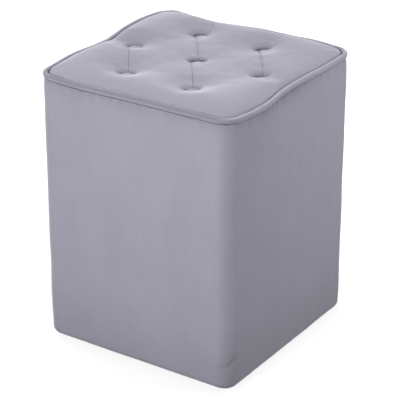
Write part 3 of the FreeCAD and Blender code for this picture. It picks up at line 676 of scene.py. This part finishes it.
# Seat cover: tufted velvet, swelled by a cloth simulation between its buttons and pleats
seat = dict(cells=54, crowding=1.3, rimLevel=seamLevel + 0.0012, crownTop=crownTop + 0.0045, crownReach=0.100,
            crownFullness=2.6, hollow=0.0078, hollowReach=0.166, hollowFade=0.098, liftFrom=0.3, liftOver=0.6,
            tuftEase=2.3, tuftTuck=0.0019, tuftSteep=0.0042, dimpleReach=0.050, dimpleShift=0.010,
            foldReach=0.016, foldDepth=0.0012, softReach=0.034, softDepth=0.0007,
            edgeDepth=0.0009, edgeFade=0.0003, edgeReach=0.020,
            rollEnd=0.165, rollFade=0.08, overhang=0.0022, overRise=0.0032, overCrowding=24,
            rimShade=0.13, rimReach=0.005, rimEnd=0.9, rimFade=0.15, shadeLean=0.4)
roundTuft = dict(edge=0.0113, wide=1.04, near=0.94, shift=0)
lowTuft = dict(edge=0.0123, gentle=0.0150, wide=1.00, near=0.44, dome=1.0, shift=-0.0030)
tuftKinds = dict(  # sink of the pillows, edge and level at the button, gentle side, form, dome and painted shade
    shallow=dict(roundTuft, dimple=0.0052, level=0.0064, gentle=0.0150, dome=1.28, shade=(0.52, 0.78)),
    open=dict(roundTuft, dimple=0.0090, level=0.0044, gentle=0.0120, dome=1.36, shade=(0.24, 0.88)),
    slot=dict(dimple=0.0018, edge=0.0123, level=0.0074, gentle=0.0080, wide=1.12, near=0.42, dome=1.0,
              shift=0, shade=(0.38, 0.40)),
    deep=dict(lowTuft, dimple=0.0034, level=0.0066, shade=(0.44, 0.55)),
    far=dict(lowTuft, dimple=0.0076, level=0.0044, shade=(0.36, 0.55)))
tuftKind = dict(front_left="shallow", front_right="shallow", middle_left="open", centre="slot",
                middle_right="deep", back_left="far", back_right="far")
tufts = {name: tuftKinds[tuftKind[name]] for name in buttonSpots}
slotAlong = np.array([0.831, 0.556])  # the tufts are drawn out along a line
slotBehind = np.array([-0.556, 0.831])
tuftLean = np.array([-0.80, 0.55])  # the side where the fabric comes down more gently
gridPull = [(0, 0), (0.005, 0.0030), (0.008, 0.0026), (0.016, -0.0022), (0.028, -0.0045), (0.037, 0)]
foldLean = np.array([0.001, 0.002]), np.array([-0.0065, -0.006])  # where a fold meets its two buttons
foldedPleats = [("front_left", "middle_left"), ("front_right", "centre"),
                ("centre", "back_left"), ("middle_right", "back_right")]
softPleats = [("middle_left", "back_left"), ("front_left", "centre"),
              ("centre", "back_right"), ("front_right", "middle_right")]
edgePleats = [("middle_left", (-0.166, 0.006)), ("middle_right", (0.166, -0.006)),
              ("back_left", (-0.072, 0.166)), ("back_right", (0.057, 0.166))]
foldLines = [(buttonSpots[first] + foldLean[0], buttonSpots[second] + foldLean[1])
             for first, second in foldedPleats]
softLines = [(buttonSpots[first], buttonSpots[second]) for first, second in softPleats]
edgeLines = [(buttonSpots[first], spot) for first, spot in edgePleats]
backFolds = [((-0.0430, 0.0890), (-0.0620, 0.1400)),  # these run out at the back
             ((0.0700, 0.1030), (0.0610, 0.1480))]


def seatPlan(across):  # the rounded, waved outline spread evenly over a square grid
    u, v = np.meshgrid(across, across)
    reach = np.maximum(np.abs(u), np.abs(v))
    safe = np.maximum(reach, 1e-6)
    edgeU, edgeV = u / safe, v / safe
    wide = np.abs(u) >= np.abs(v)
    side = np.where(wide, np.where(u >= 0, 0, 2), np.where(v >= 0, 1, 3))
    share = np.choose(side, [edgeV, -edgeU, -edgeV, edgeU])
    inset = halfWidth - rimHalf
    radius = body["cornerRadius"] - inset
    flat = rimHalf - radius
    along = share * rimHalf
    run = np.clip(along / flat, -1, 1)
    bend = np.sign(along) * np.clip((np.abs(along) - flat) / radius, 0, 1) * math.pi / 4
    spots, outward = edgeSpots(side, run, bend, inset)
    rolled = smoothStep((seat["rollEnd"] - np.abs(along)) / seat["rollFade"])
    atFront = (side == 3) * rolled  # here the seat rolls over onto the welt
    pull = edgePull(seamOut, side, run, bend) + seat["overhang"] * atFront
    spots = spots + outward * pull[..., None]
    lift = edgePull(seamUp, side, run, bend) * smoothStep((reach - seat["liftFrom"]) / seat["liftOver"])
    lift = lift + seat["overRise"] * atFront * reach ** seat["overCrowding"]
    square = np.stack([edgeU, edgeV], -1) * rimHalf
    plan = np.stack([u, v], -1) * rimHalf + (spots - square) * (reach ** 8)[..., None]
    for spot in buttonSpots.values():  # the grid is drawn together round each button's rim
        offset = plan - spot
        away = np.maximum(length(offset), 1e-9)
        pull = np.where(away < gridPull[-1][0], smoothThrough(gridPull, away), 0)
        plan = plan + offset * (pull / away)[..., None]
    return u, v, plan, lift


def crownShare(u):
    rise = np.clip((1 - np.abs(u)) * rimHalf / seat["crownReach"], 0, 1)
    return np.maximum(1 - (1 - rise) ** seat["crownFullness"], 1e-9) ** (1 / seat["crownFullness"])


def crownLevel(u, v):
    together = (crownShare(u) ** -3 + crownShare(v) ** -3 - 1) ** (-1 / 3)
    return seat["rimLevel"] + (seat["crownTop"] - seat["rimLevel"]) * together


def seatSurface(across):
    u, v, plan, lift = seatPlan(across)
    wide = (plan ** 4).sum(-1) ** 0.25
    crown = crownLevel(u, v) - seat["hollow"] * smoothStep((seat["hollowReach"] - wide) / seat["hollowFade"])
    dips = []
    shade = np.zeros(u.shape)
    for name, spot in buttonSpots.items():
        away = length(plan - spot - seat["dimpleShift"] * tuftLean)
        crown = crown - tufts[name]["dimple"] * np.clip(1 - (away / seat["dimpleReach"]) ** 2, 0, 1) ** 2
    for name, spot in buttonSpots.items():
        tuft = tufts[name]
        offset = plan - spot
        away = np.maximum(length(offset), 1e-9)
        behind = smoothStep(0.5 + 0.5 * (offset @ tuftLean) / away)
        deep, along = offset @ slotBehind, offset @ slotAlong - tuft["shift"]
        away = np.hypot(along / tuft["wide"], np.where(deep < 0, deep / tuft["near"], deep))
        reach = seat["tuftSteep"] + (tuft["gentle"] - seat["tuftSteep"]) * behind
        share = np.clip((away - tuft["edge"]) / reach, 0, 1)
        under = smoothStep((tuft["edge"] - away) / seat["tuftTuck"])
        sunk = (1 - share) ** seat["tuftEase"]
        dips.append((crown - tuftFloor - tuft["level"]) * sunk + tuft["level"] * under)
        # painted shade deep in each tuft, darker on its left side
        strength, start = tuft["shade"]
        lopsided = 1 - seat["shadeLean"] * along / np.maximum(away, 1e-9)  # darker on the left
        shade = np.maximum(shade, strength * smoothStep((sunk - start) / (1 - start)) * lopsided)
    for line in foldLines:
        away, share = fromLine(plan, *line)
        deep = seat["foldDepth"] * (1 + 0.8 * (2 * share - 1) ** 4)
        dips.append(deep * np.clip(1 - away / seat["foldReach"], 0, 1) ** 2.2)
    for line in softLines:
        away, share = fromLine(plan, *line)
        deep = seat["softDepth"] * (1 + 0.9 * (2 * share - 1) ** 4)
        dips.append(deep * halfWave(away / seat["softReach"]))
    for line in edgeLines:
        away, share = fromLine(plan, *line)
        deep = seat["edgeDepth"] + (seat["edgeFade"] - seat["edgeDepth"]) * share
        dips.append(deep * halfWave(away / seat["edgeReach"]))
    dip = sum(part ** 4 for part in dips) ** 0.25
    return u, v, withLevel(plan, crown + lift - dip), shade


swell = dict(pressure=4.0, frames=20, quality=5, most=0.0028, floorDrop=0.006, rimRows=3,
             foldHold=0.85, foldReach=0.0035, buttonReach=0.0136)


def swellPushes(start):  # cloth simulation of the closed seat, held at its rim, buttons and folds
    count = start.shape[0]
    plan, under = start[..., :2], count * count
    below = withLevel(plan, seamLevel - swell["floorDrop"])
    points = np.concatenate([start.reshape(-1, 3), below.reshape(-1, 3)])
    topFaces = gridFaces(count, count)
    rim = rimNumbers(count)
    after = np.roll(rim, -1)
    walls = np.stack([rim, rim + under, after + under, after], -1)
    faces = np.concatenate([topFaces, topFaces[:, ::-1] + under, walls])
    hold = np.zeros((count, count))
    for line in foldLines:
        hold = np.maximum(hold, swell["foldHold"] * (fromLine(plan, *line)[0] < swell["foldReach"]))
    for spot in buttonSpots.values():
        hold[length(plan - spot) < swell["buttonReach"]] = 1
    rows = swell["rimRows"]
    hold[:rows] = hold[-rows:] = 1
    hold[:, :rows] = hold[:, -rows:] = 1
    weights = np.concatenate([hold.ravel(), np.ones(count * count)])
    piece = addMesh("swelling", points.tolist(), faces.tolist())
    held = piece.vertex_groups.new(name="held")
    for weight in np.unique(weights[weights > 0]):
        held.add(np.flatnonzero(weights == weight).tolist(), float(weight), "REPLACE")
    cloth = piece.modifiers.new("swell", "CLOTH")
    cloth.settings.quality = swell["quality"]
    cloth.settings.use_pressure = True
    cloth.settings.uniform_pressure_force = swell["pressure"]
    cloth.settings.effector_weights.gravity = 0
    cloth.settings.vertex_group_mass = "held"
    cloth.collision_settings.use_collision = False
    cloth.point_cache.frame_start = 1
    cloth.point_cache.frame_end = swell["frames"]
    for moment in range(1, swell["frames"] + 1):
        bpy.context.scene.frame_set(moment)
    shaped = piece.evaluated_get(bpy.context.evaluated_depsgraph_get()).data
    moved = np.zeros(len(points) * 3)
    shaped.vertices.foreach_get("co", moved)
    bpy.data.objects.remove(piece)
    bpy.context.scene.frame_set(1)
    push = moved.reshape(-1, 3)[:count * count].reshape(count, count, 3) - start
    size = np.maximum(np.linalg.norm(push, axis=-1, keepdims=True), 1e-9)
    print("seat swelled by up to", round(float(size.max()) * 1000, 2), "mm")
    return push * (swell["most"] * np.tanh(size / swell["most"]) / size)


def refine(field):  # twice as many points each way, by smooth four-point steps
    for axis in (0, 1):
        field = np.moveaxis(field, axis, 0)
        longer = np.concatenate([2 * field[:1] - field[1:2], field, 2 * field[-1:] - field[-2:-1]])
        between = (9 * (longer[1:-2] + longer[2:-1]) - longer[:-3] - longer[3:]) / 16
        finer = np.zeros((2 * len(field) - 1,) + field.shape[1:])
        finer[::2] = field
        finer[1::2] = between
        field = np.moveaxis(finer, 0, axis)
    return field


detail = dict(creaseDepth=0.0009, creaseWidth=0.0018, lip=0.0004, lipOut=0.0045, lipWidth=0.0025,
              lipReach=0.02, gather=0.00018, gatherOut=0.0170, gatherWidth=0.004, gatherFolds=(7, 11, 16),
              ripple=0.00012, rippleWave=0.030, fromRim=0.012)
mitre = dict(width=0.16, start=0.5, fade=0.1, passes=12, share=0.8)


def seatDetail(plan):  # creases of the folded pleats, gathers at the buttons and a little unevenness
    height = detail["ripple"] * ripple(withLevel(plan, 0), detail["rippleWave"], 42)
    for start, finish in foldLines:
        run = (finish - start) / np.linalg.norm(finish - start)
        away, share = fromLine(plan, start, finish)
        aside = (plan - start) @ np.array([run[1], -run[0]])  # towards the right of the fold
        ends = np.clip(np.sin(math.pi * share), 0, 1) ** 0.35
        height -= detail["creaseDepth"] * ends * np.exp(-away / detail["creaseWidth"])
        lip = near(aside - detail["lipOut"], detail["lipWidth"]) * (away < detail["lipReach"])
        height += detail["lip"] * ends * lip
    draw = np.random.default_rng(41)
    for spot in buttonSpots.values():
        offset = plan - spot
        angle = np.arctan2(offset[..., 1], offset[..., 0])
        folds = np.zeros(angle.shape)
        for count in detail["gatherFolds"]:
            folds += np.cos(count * angle + draw.uniform(0, 2 * math.pi)) * draw.uniform(0.4, 1)
        ring = near(length(offset) - detail["gatherOut"], detail["gatherWidth"])
        height += detail["gather"] * folds * ring
    return height


def crowded(cells):  # places across the seat, closer together towards the rim
    step = np.linspace(-1, 1, cells + 1)
    return np.sign(step) * (1 - (1 - np.abs(step)) ** seat["crowding"])


seatVelvet = velvetMaterial("velvetSeat", foldLines + backFolds)


def makeSeatCover():
    across = crowded(4 * seat["cells"])
    u, v, surface, shade = seatSurface(across)
    surface = surface + refine(swellPushes(seatSurface(crowded(2 * seat["cells"]))[2]))
    least, most = np.minimum(np.abs(u), np.abs(v)), np.maximum(np.abs(u), np.abs(v))
    eased = np.clip(1 - (most - least) / mitre["width"], 0, 1)
    eased = eased * smoothStep((least - mitre["start"]) / mitre["fade"])
    for _ in range(mitre["passes"]):  # the corners are eased, so that no ridge shows on the diagonal
        flat = surface.copy()
        flat[1:-1, 1:-1] = (surface[:-2, 1:-1] + surface[2:, 1:-1]
                            + surface[1:-1, :-2] + surface[1:-1, 2:]) / 4
        surface = surface + (flat - surface) * (mitre["share"] * eased)[..., None]
    surface[..., 2] += seatDetail(surface[..., :2]) * smoothStep((1 - most) * rimHalf / detail["fromRim"])
    # painted shade along the front rim of the seat, next to the welt
    atFront = smoothStep((seat["rimEnd"] - np.abs(u)) / seat["rimFade"])
    atFront = atFront * smoothStep(1 - (1 + v) * rimHalf / seat["rimReach"])
    shade = np.maximum(shade, seat["rimShade"] * atFront)
    faces = gridFaces(len(across), len(across))
    cover = makePiece("seatCover", surface, faces, seatVelvet, ["top_cover"], body["cover"], shade)
    return surface


seatTop = makeSeatCover()
print("seat cover made")


# Seat foam: the block under the seat cover, down to the deck
block = dict(reach=4, step=4, inset=0.0016, under=0.0022, rimDrop=0.0012, sideDrop=0.0016, sideIn=0.003,
             squareFrom=0.424, overDeck=0.0002, deckIn=0.0004)


def makeSeatFoam():
    reach, step = block["reach"], block["step"]
    deepest = seatTop[..., 2]
    rows, columns = deepest.shape
    wide = np.pad(deepest, reach, mode="edge")
    for down in range(2 * reach + 1):
        for aside in range(2 * reach + 1):
            deepest = np.minimum(deepest, wide[down:down + rows, aside:aside + columns])
    plan = seatTop[::step, ::step, :2] * ((rimHalf - block["inset"]) / rimHalf)
    count = len(plan)
    points = withLevel(plan, deepest[::step, ::step] - block["under"]).reshape(-1, 3)
    faces = gridFaces(count, count).tolist()
    before = rimNumbers(count)
    rimPlan = points[before, :2]
    inward = (foamHigh.x - block["sideIn"]) / foamHigh.x
    half = deckHigh.x - block["deckIn"]
    for level, shrink in ((seamLevel - block["rimDrop"], 1.0), (seamLevel - block["sideDrop"], inward),
                          (block["squareFrom"], inward), (deckHigh.z + block["overDeck"], inward)):
        ring = rimPlan * shrink
        if level <= block["squareFrom"]:  # the block's own square sides, clear of the wave at the seam
            ring = np.clip(ring, -half, half)
        here = len(points) + np.arange(len(ring))
        points = np.concatenate([points, withLevel(ring, level)])
        faces += np.stack([before, here, np.roll(here, -1), np.roll(before, -1)], -1).tolist()
        before = here
    faces.append(list(before[::-1]))
    foam = makePiece("seatFoam", points, faces, finishes["seatFoam"], ["seat_foam"])


makeSeatFoam()
print("seat foam made")


# Welt: a velvet tube over its cord, sewn in along the waved seam
welt = dict(sections=28, square=2.7, noise=0.00010, noiseTall=0.004, noiseWave=0.040,
            twist=0.00006, twistPitch=0.0075, gather=0.00012, gatherPitch=0.0048,
            joinSpot=0.055, joinRise=0.00035, joinReach=0.006, joinGroove=0.0004, joinWidth=0.0022,
            # the shade values set the painted shade on the welt, by side and by part of its round
            shade=dict(right=0.02, back=0.20, left=0.20, front=0.38), shadeFrom=0.2, shadeOver=0.2,
            lowPart=(0.9, 0.6, 0.3), highPart=(0.3, -1.1, 0),  # the shade lies low, at the front high
            cordRadius=0.0026, cordSections=12)


def weltTube(radius, sections, uneven):
    spots, outward = edgeSpots(loopSide, loopRun, loopBend, halfWidth - weltHalf)
    spots = spots + outward * loopOut[:, None]
    level = seamLevel + weltRadius + loopUp
    along = 2 * math.pi * np.concatenate([[0], np.cumsum(length(np.diff(spots, axis=0)))])
    join = np.abs(spots[:, 0] - welt["joinSpot"]) + 10 * (loopSide != 1)  # on the back alone
    rings = []
    for angle in fullTurn(sections):
        wide = np.full(loopCount, radius)
        if uneven:
            where = withLevel(spots, welt["noiseTall"] * math.sin(angle))
            wide += welt["noise"] * ripple(where, welt["noiseWave"], 51)
            wide += welt["twist"] * np.sin(along / welt["twistPitch"] + 2 * angle)
            wide += welt["gather"] * loopCorner * np.sin(along / welt["gatherPitch"])
            wide += welt["joinRise"] * near(join, welt["joinReach"])
            wide -= welt["joinGroove"] * near(join, welt["joinWidth"])
            corner = abs(math.cos(angle)) ** welt["square"] + abs(math.sin(angle)) ** welt["square"]
            wide *= corner ** (-1 / welt["square"])  # squeezed a little square by the seam
        ring = spots + outward * (wide * math.cos(angle))[:, None]
        rings.append(withLevel(ring, level - wide * math.sin(angle)))
    return np.stack(rings)


def makeWelt():
    points = weltTube(weltRadius, welt["sections"], True)
    faces = loopFaces(welt["sections"], loopCount, closed=True)
    # Painted shade on the welt, strongest at the front
    outer = np.array([welt["shade"][name] for name in sideNames])
    neighbour = np.where(loopBend > 0, loopSide + 1, loopSide - 1) % 4
    blend = 0.5 * np.sin(2 * np.abs(loopBend))  # from one side's shade to the next, round the corner
    around = outer[loopSide] + (outer[neighbour] - outer[loopSide]) * blend
    angles = fullTurn(welt["sections"])[:, None]
    low, high = (smoothStep(out * np.cos(angles) + down * np.sin(angles) + more)
                 for out, down, more in (welt["lowPart"], welt["highPart"]))
    atFront = np.clip((around - welt["shadeFrom"]) / welt["shadeOver"], 0, 1)
    shade = (low + (high - low) * atFront) * around
    cover = makePiece("weltCover", points, faces, weltVelvet, ["welt_cover"], body["cover"], shade)
    points = weltTube(welt["cordRadius"], welt["cordSections"], False)
    faces = loopFaces(welt["cordSections"], loopCount, closed=True)
    makePiece("weltCord", points, faces, finishes["pipingCord"], ["welt_cord"])


makeWelt()
print("welt made")


# Buttons: velvet crimped over a domed shell, each leaning a little its own way
button = dict(turns=60, crimps=17, crimp=0.00022, crimpAt=0.97, crimpWidth=0.10, crimpTop=0.6,
              lean=3.0, gap=0.0004)
buttonProfile = [(0.0, 1.0), (0.22, 0.994), (0.44, 0.970), (0.63, 0.925), (0.78, 0.855), (0.88, 0.77),
                 (0.945, 0.65), (0.985, 0.49), (1.0, 0.32), (0.985, 0.18), (0.93, 0.09), (0.84, 0.05),
                 (0.62, 0.03), (0.0, 0.03)]  # shares of the radius and the height


def makeButtons():
    draw = np.random.default_rng(61)
    for name in sorted(buttonSpots):
        domeHeight = buttonHeight * tufts[name]["dome"]
        angles = fullTurn(button["turns"])
        phase = draw.uniform(0, 2 * math.pi)
        rings = []
        for share, height in buttonProfile[1:-1]:
            atRim = near(share - button["crimpAt"], button["crimpWidth"]) * (height < button["crimpTop"])
            wide = share * buttonRadius + button["crimp"] * atRim * np.cos(button["crimps"] * angles + phase)
            ring = np.stack([wide * np.cos(angles), wide * np.sin(angles)], 1)
            rings.append(withLevel(ring, height * domeHeight))
        rows = len(rings)
        ends = [[0, 0, height * domeHeight] for _, height in (buttonProfile[0], buttonProfile[-1])]
        points = np.concatenate(rings + [np.array(ends)])
        tilt, heading = math.radians(draw.uniform(0.3, 1) * button["lean"]), draw.uniform(0, 2 * math.pi)
        points[:, 2] += math.tan(tilt) * (points[:, 0] * math.cos(heading) + points[:, 1] * math.sin(heading))
        points += (*buttonSpots[name], tuftFloor + button["gap"])
        faces = [list(face) for face in loopFaces(rows, button["turns"])]
        top, low = rows * button["turns"], rows * button["turns"] + 1
        last = (rows - 1) * button["turns"]
        for turn in range(button["turns"]):
            after = (turn + 1) % button["turns"]
            faces.append([top, turn, after])
            faces.append([low, last + after, last + turn])
        piece = makePiece("button." + name, points, faces, buttonVelvet, ["button_" + name])


makeButtons()
print("buttons made")


# Dust cover: black non-woven cloth with a turned hem, stapled under the base
dust = dict(cells=72, sag=0.0009, hemBand=0.014, hemDrop=0.000125, hemEdge=0.002, ripple=0.00014,
            rippleWave=0.055, rippleFade=0.03, thick=0.0005, turnIn=0.012)


def makeDustCover():
    across = np.linspace(-1, 1, dust["cells"] + 1)
    u, v = np.meshgrid(across, across)
    half = dustHigh.x
    reach = np.maximum(np.abs(u), np.abs(v))
    corner = body["cornerRadius"] - (halfWidth - half)
    excess = np.maximum(np.abs(np.stack([u, v], -1)) * half - (half - corner), 0)
    far = length(excess)
    largest = np.maximum(np.max(excess, -1), 1e-9)
    shrink = np.where(far > 0, largest / np.maximum(far, 1e-9), 1)
    keep = np.stack([u, v], -1) * half
    plan = keep - np.sign(keep) * excess * (1 - shrink)[..., None]
    inset = (1 - reach) * half
    level = (dustLow.z + dustHigh.z) / 2 + dust["thick"] / 2
    sag = dust["sag"] * (1 - u ** 2) * (1 - v ** 2)
    step = dust["hemDrop"] * smoothStep((dust["hemBand"] - inset) / dust["hemEdge"])
    wavy = dust["ripple"] * ripple(withLevel(plan, 0), dust["rippleWave"], 71)
    wavy = wavy * smoothStep(inset / dust["rippleFade"])
    points = withLevel(plan, level - sag - step + wavy)
    faces = gridFaces(len(across), len(across))[:, ::-1]
    cloth = makePiece("dustCover", points, faces, dustMaterial, ["dust_cover"], dust["thick"])


makeDustCover()
print("dust cover made")


# Studio: pale floor, white surround and soft lamps
studio = dict(floorHalf=6.0, ambient=0.04, floorOther=0.045, floorTone=0.24,
              glow=(0.80, 1.0), glowReach=(0.30, 0.75))  # the floor whitens away from the object
lamps = [  # name, azimuth, elevation, distance, size and power
    ("key", -1, 18, 1.6, (1.0, 1.0), 29), ("left", -110, 50, 2.2, (1.4, 1.4), 28),
    ("right", 114, 18, 1.5, (0.9, 0.9), 13.8), ("back", 120, 40, 1.6, (1.0, 1.0), 7.5),
    ("lowLeft", -110, -7, 1.10, (1.0, 0.16), 4.6), ("lowBack", -160, -7, 1.10, (1.0, 0.16), 5.4),
    ("overhead", 33, 82, 2.0, (1.6, 1.6), 5)]


def addLamp(name, azimuth, elevation, distance, size, power):
    light = bpy.data.lights.new(name, "AREA")
    light.shape = "RECTANGLE"
    light.size, light.size_y = size
    light.energy = power
    lamp = addObject(name, light)
    aim(lamp, azimuth, elevation, distance)
    lamp.visible_camera = False


def splitRays(tree, other, seen, output):  # camera, mirror and see-through rays get a surface of their own
    path = addNode(tree, "LightPath")
    direct = plainMath(tree, "MAXIMUM", path["Is Camera Ray"], path["Is Glossy Ray"])
    direct = plainMath(tree, "MAXIMUM", direct, path["Is Transmission Ray"])
    mix = addNode(tree, "MixShader", {0: direct, 1: other[0], 2: seen[0]})
    addNode(tree, output, {"Surface": mix[0]})


def makeWorld():
    world = bpy.data.worlds.new("studio")
    bpy.context.scene.world = world
    world.use_nodes = True
    tree = world.node_tree
    tree.nodes.clear()
    plain = addNode(tree, "Background", {"Color": (1, 1, 1, 1), "Strength": studio["ambient"]})
    white = addNode(tree, "Background", {"Color": (1, 1, 1, 1), "Strength": 1})
    splitRays(tree, plain, white, "OutputWorld")


def makeFloor():
    half = studio["floorHalf"]
    corners = [(half * x, half * y, 0) for x, y in ((-1, -1), (1, -1), (1, 1), (-1, 1))]
    floor = addMesh("floor", corners, [(0, 1, 2, 3)])
    material, tree = newMaterial("paleFloor")
    other = addNode(tree, "BsdfDiffuse", {"Color": (studio["floorOther"],) * 3 + (1,)})
    shade = addNode(tree, "BsdfDiffuse", {"Color": (studio["floorTone"],) * 3 + (1,)})
    distance = vectorMath(tree, "LENGTH", objectPlace(tree))
    whiten = mapRange(tree, distance, studio["glow"], studio["glowReach"], interpolation_type="SMOOTHSTEP")
    glow = addNode(tree, "Emission", {"Color": (1, 1, 1, 1), "Strength": whiten})
    both = addNode(tree, "AddShader", {0: shade[0], 1: glow[0]})
    splitRays(tree, other, both, "OutputMaterial")
    floor.data.materials.append(material)
    floor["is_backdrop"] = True


for lamp in lamps:
    addLamp(*lamp)
makeWorld()
makeFloor()
bpy.context.scene.view_settings.view_transform = "Standard"
print("studio made")

low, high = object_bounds()
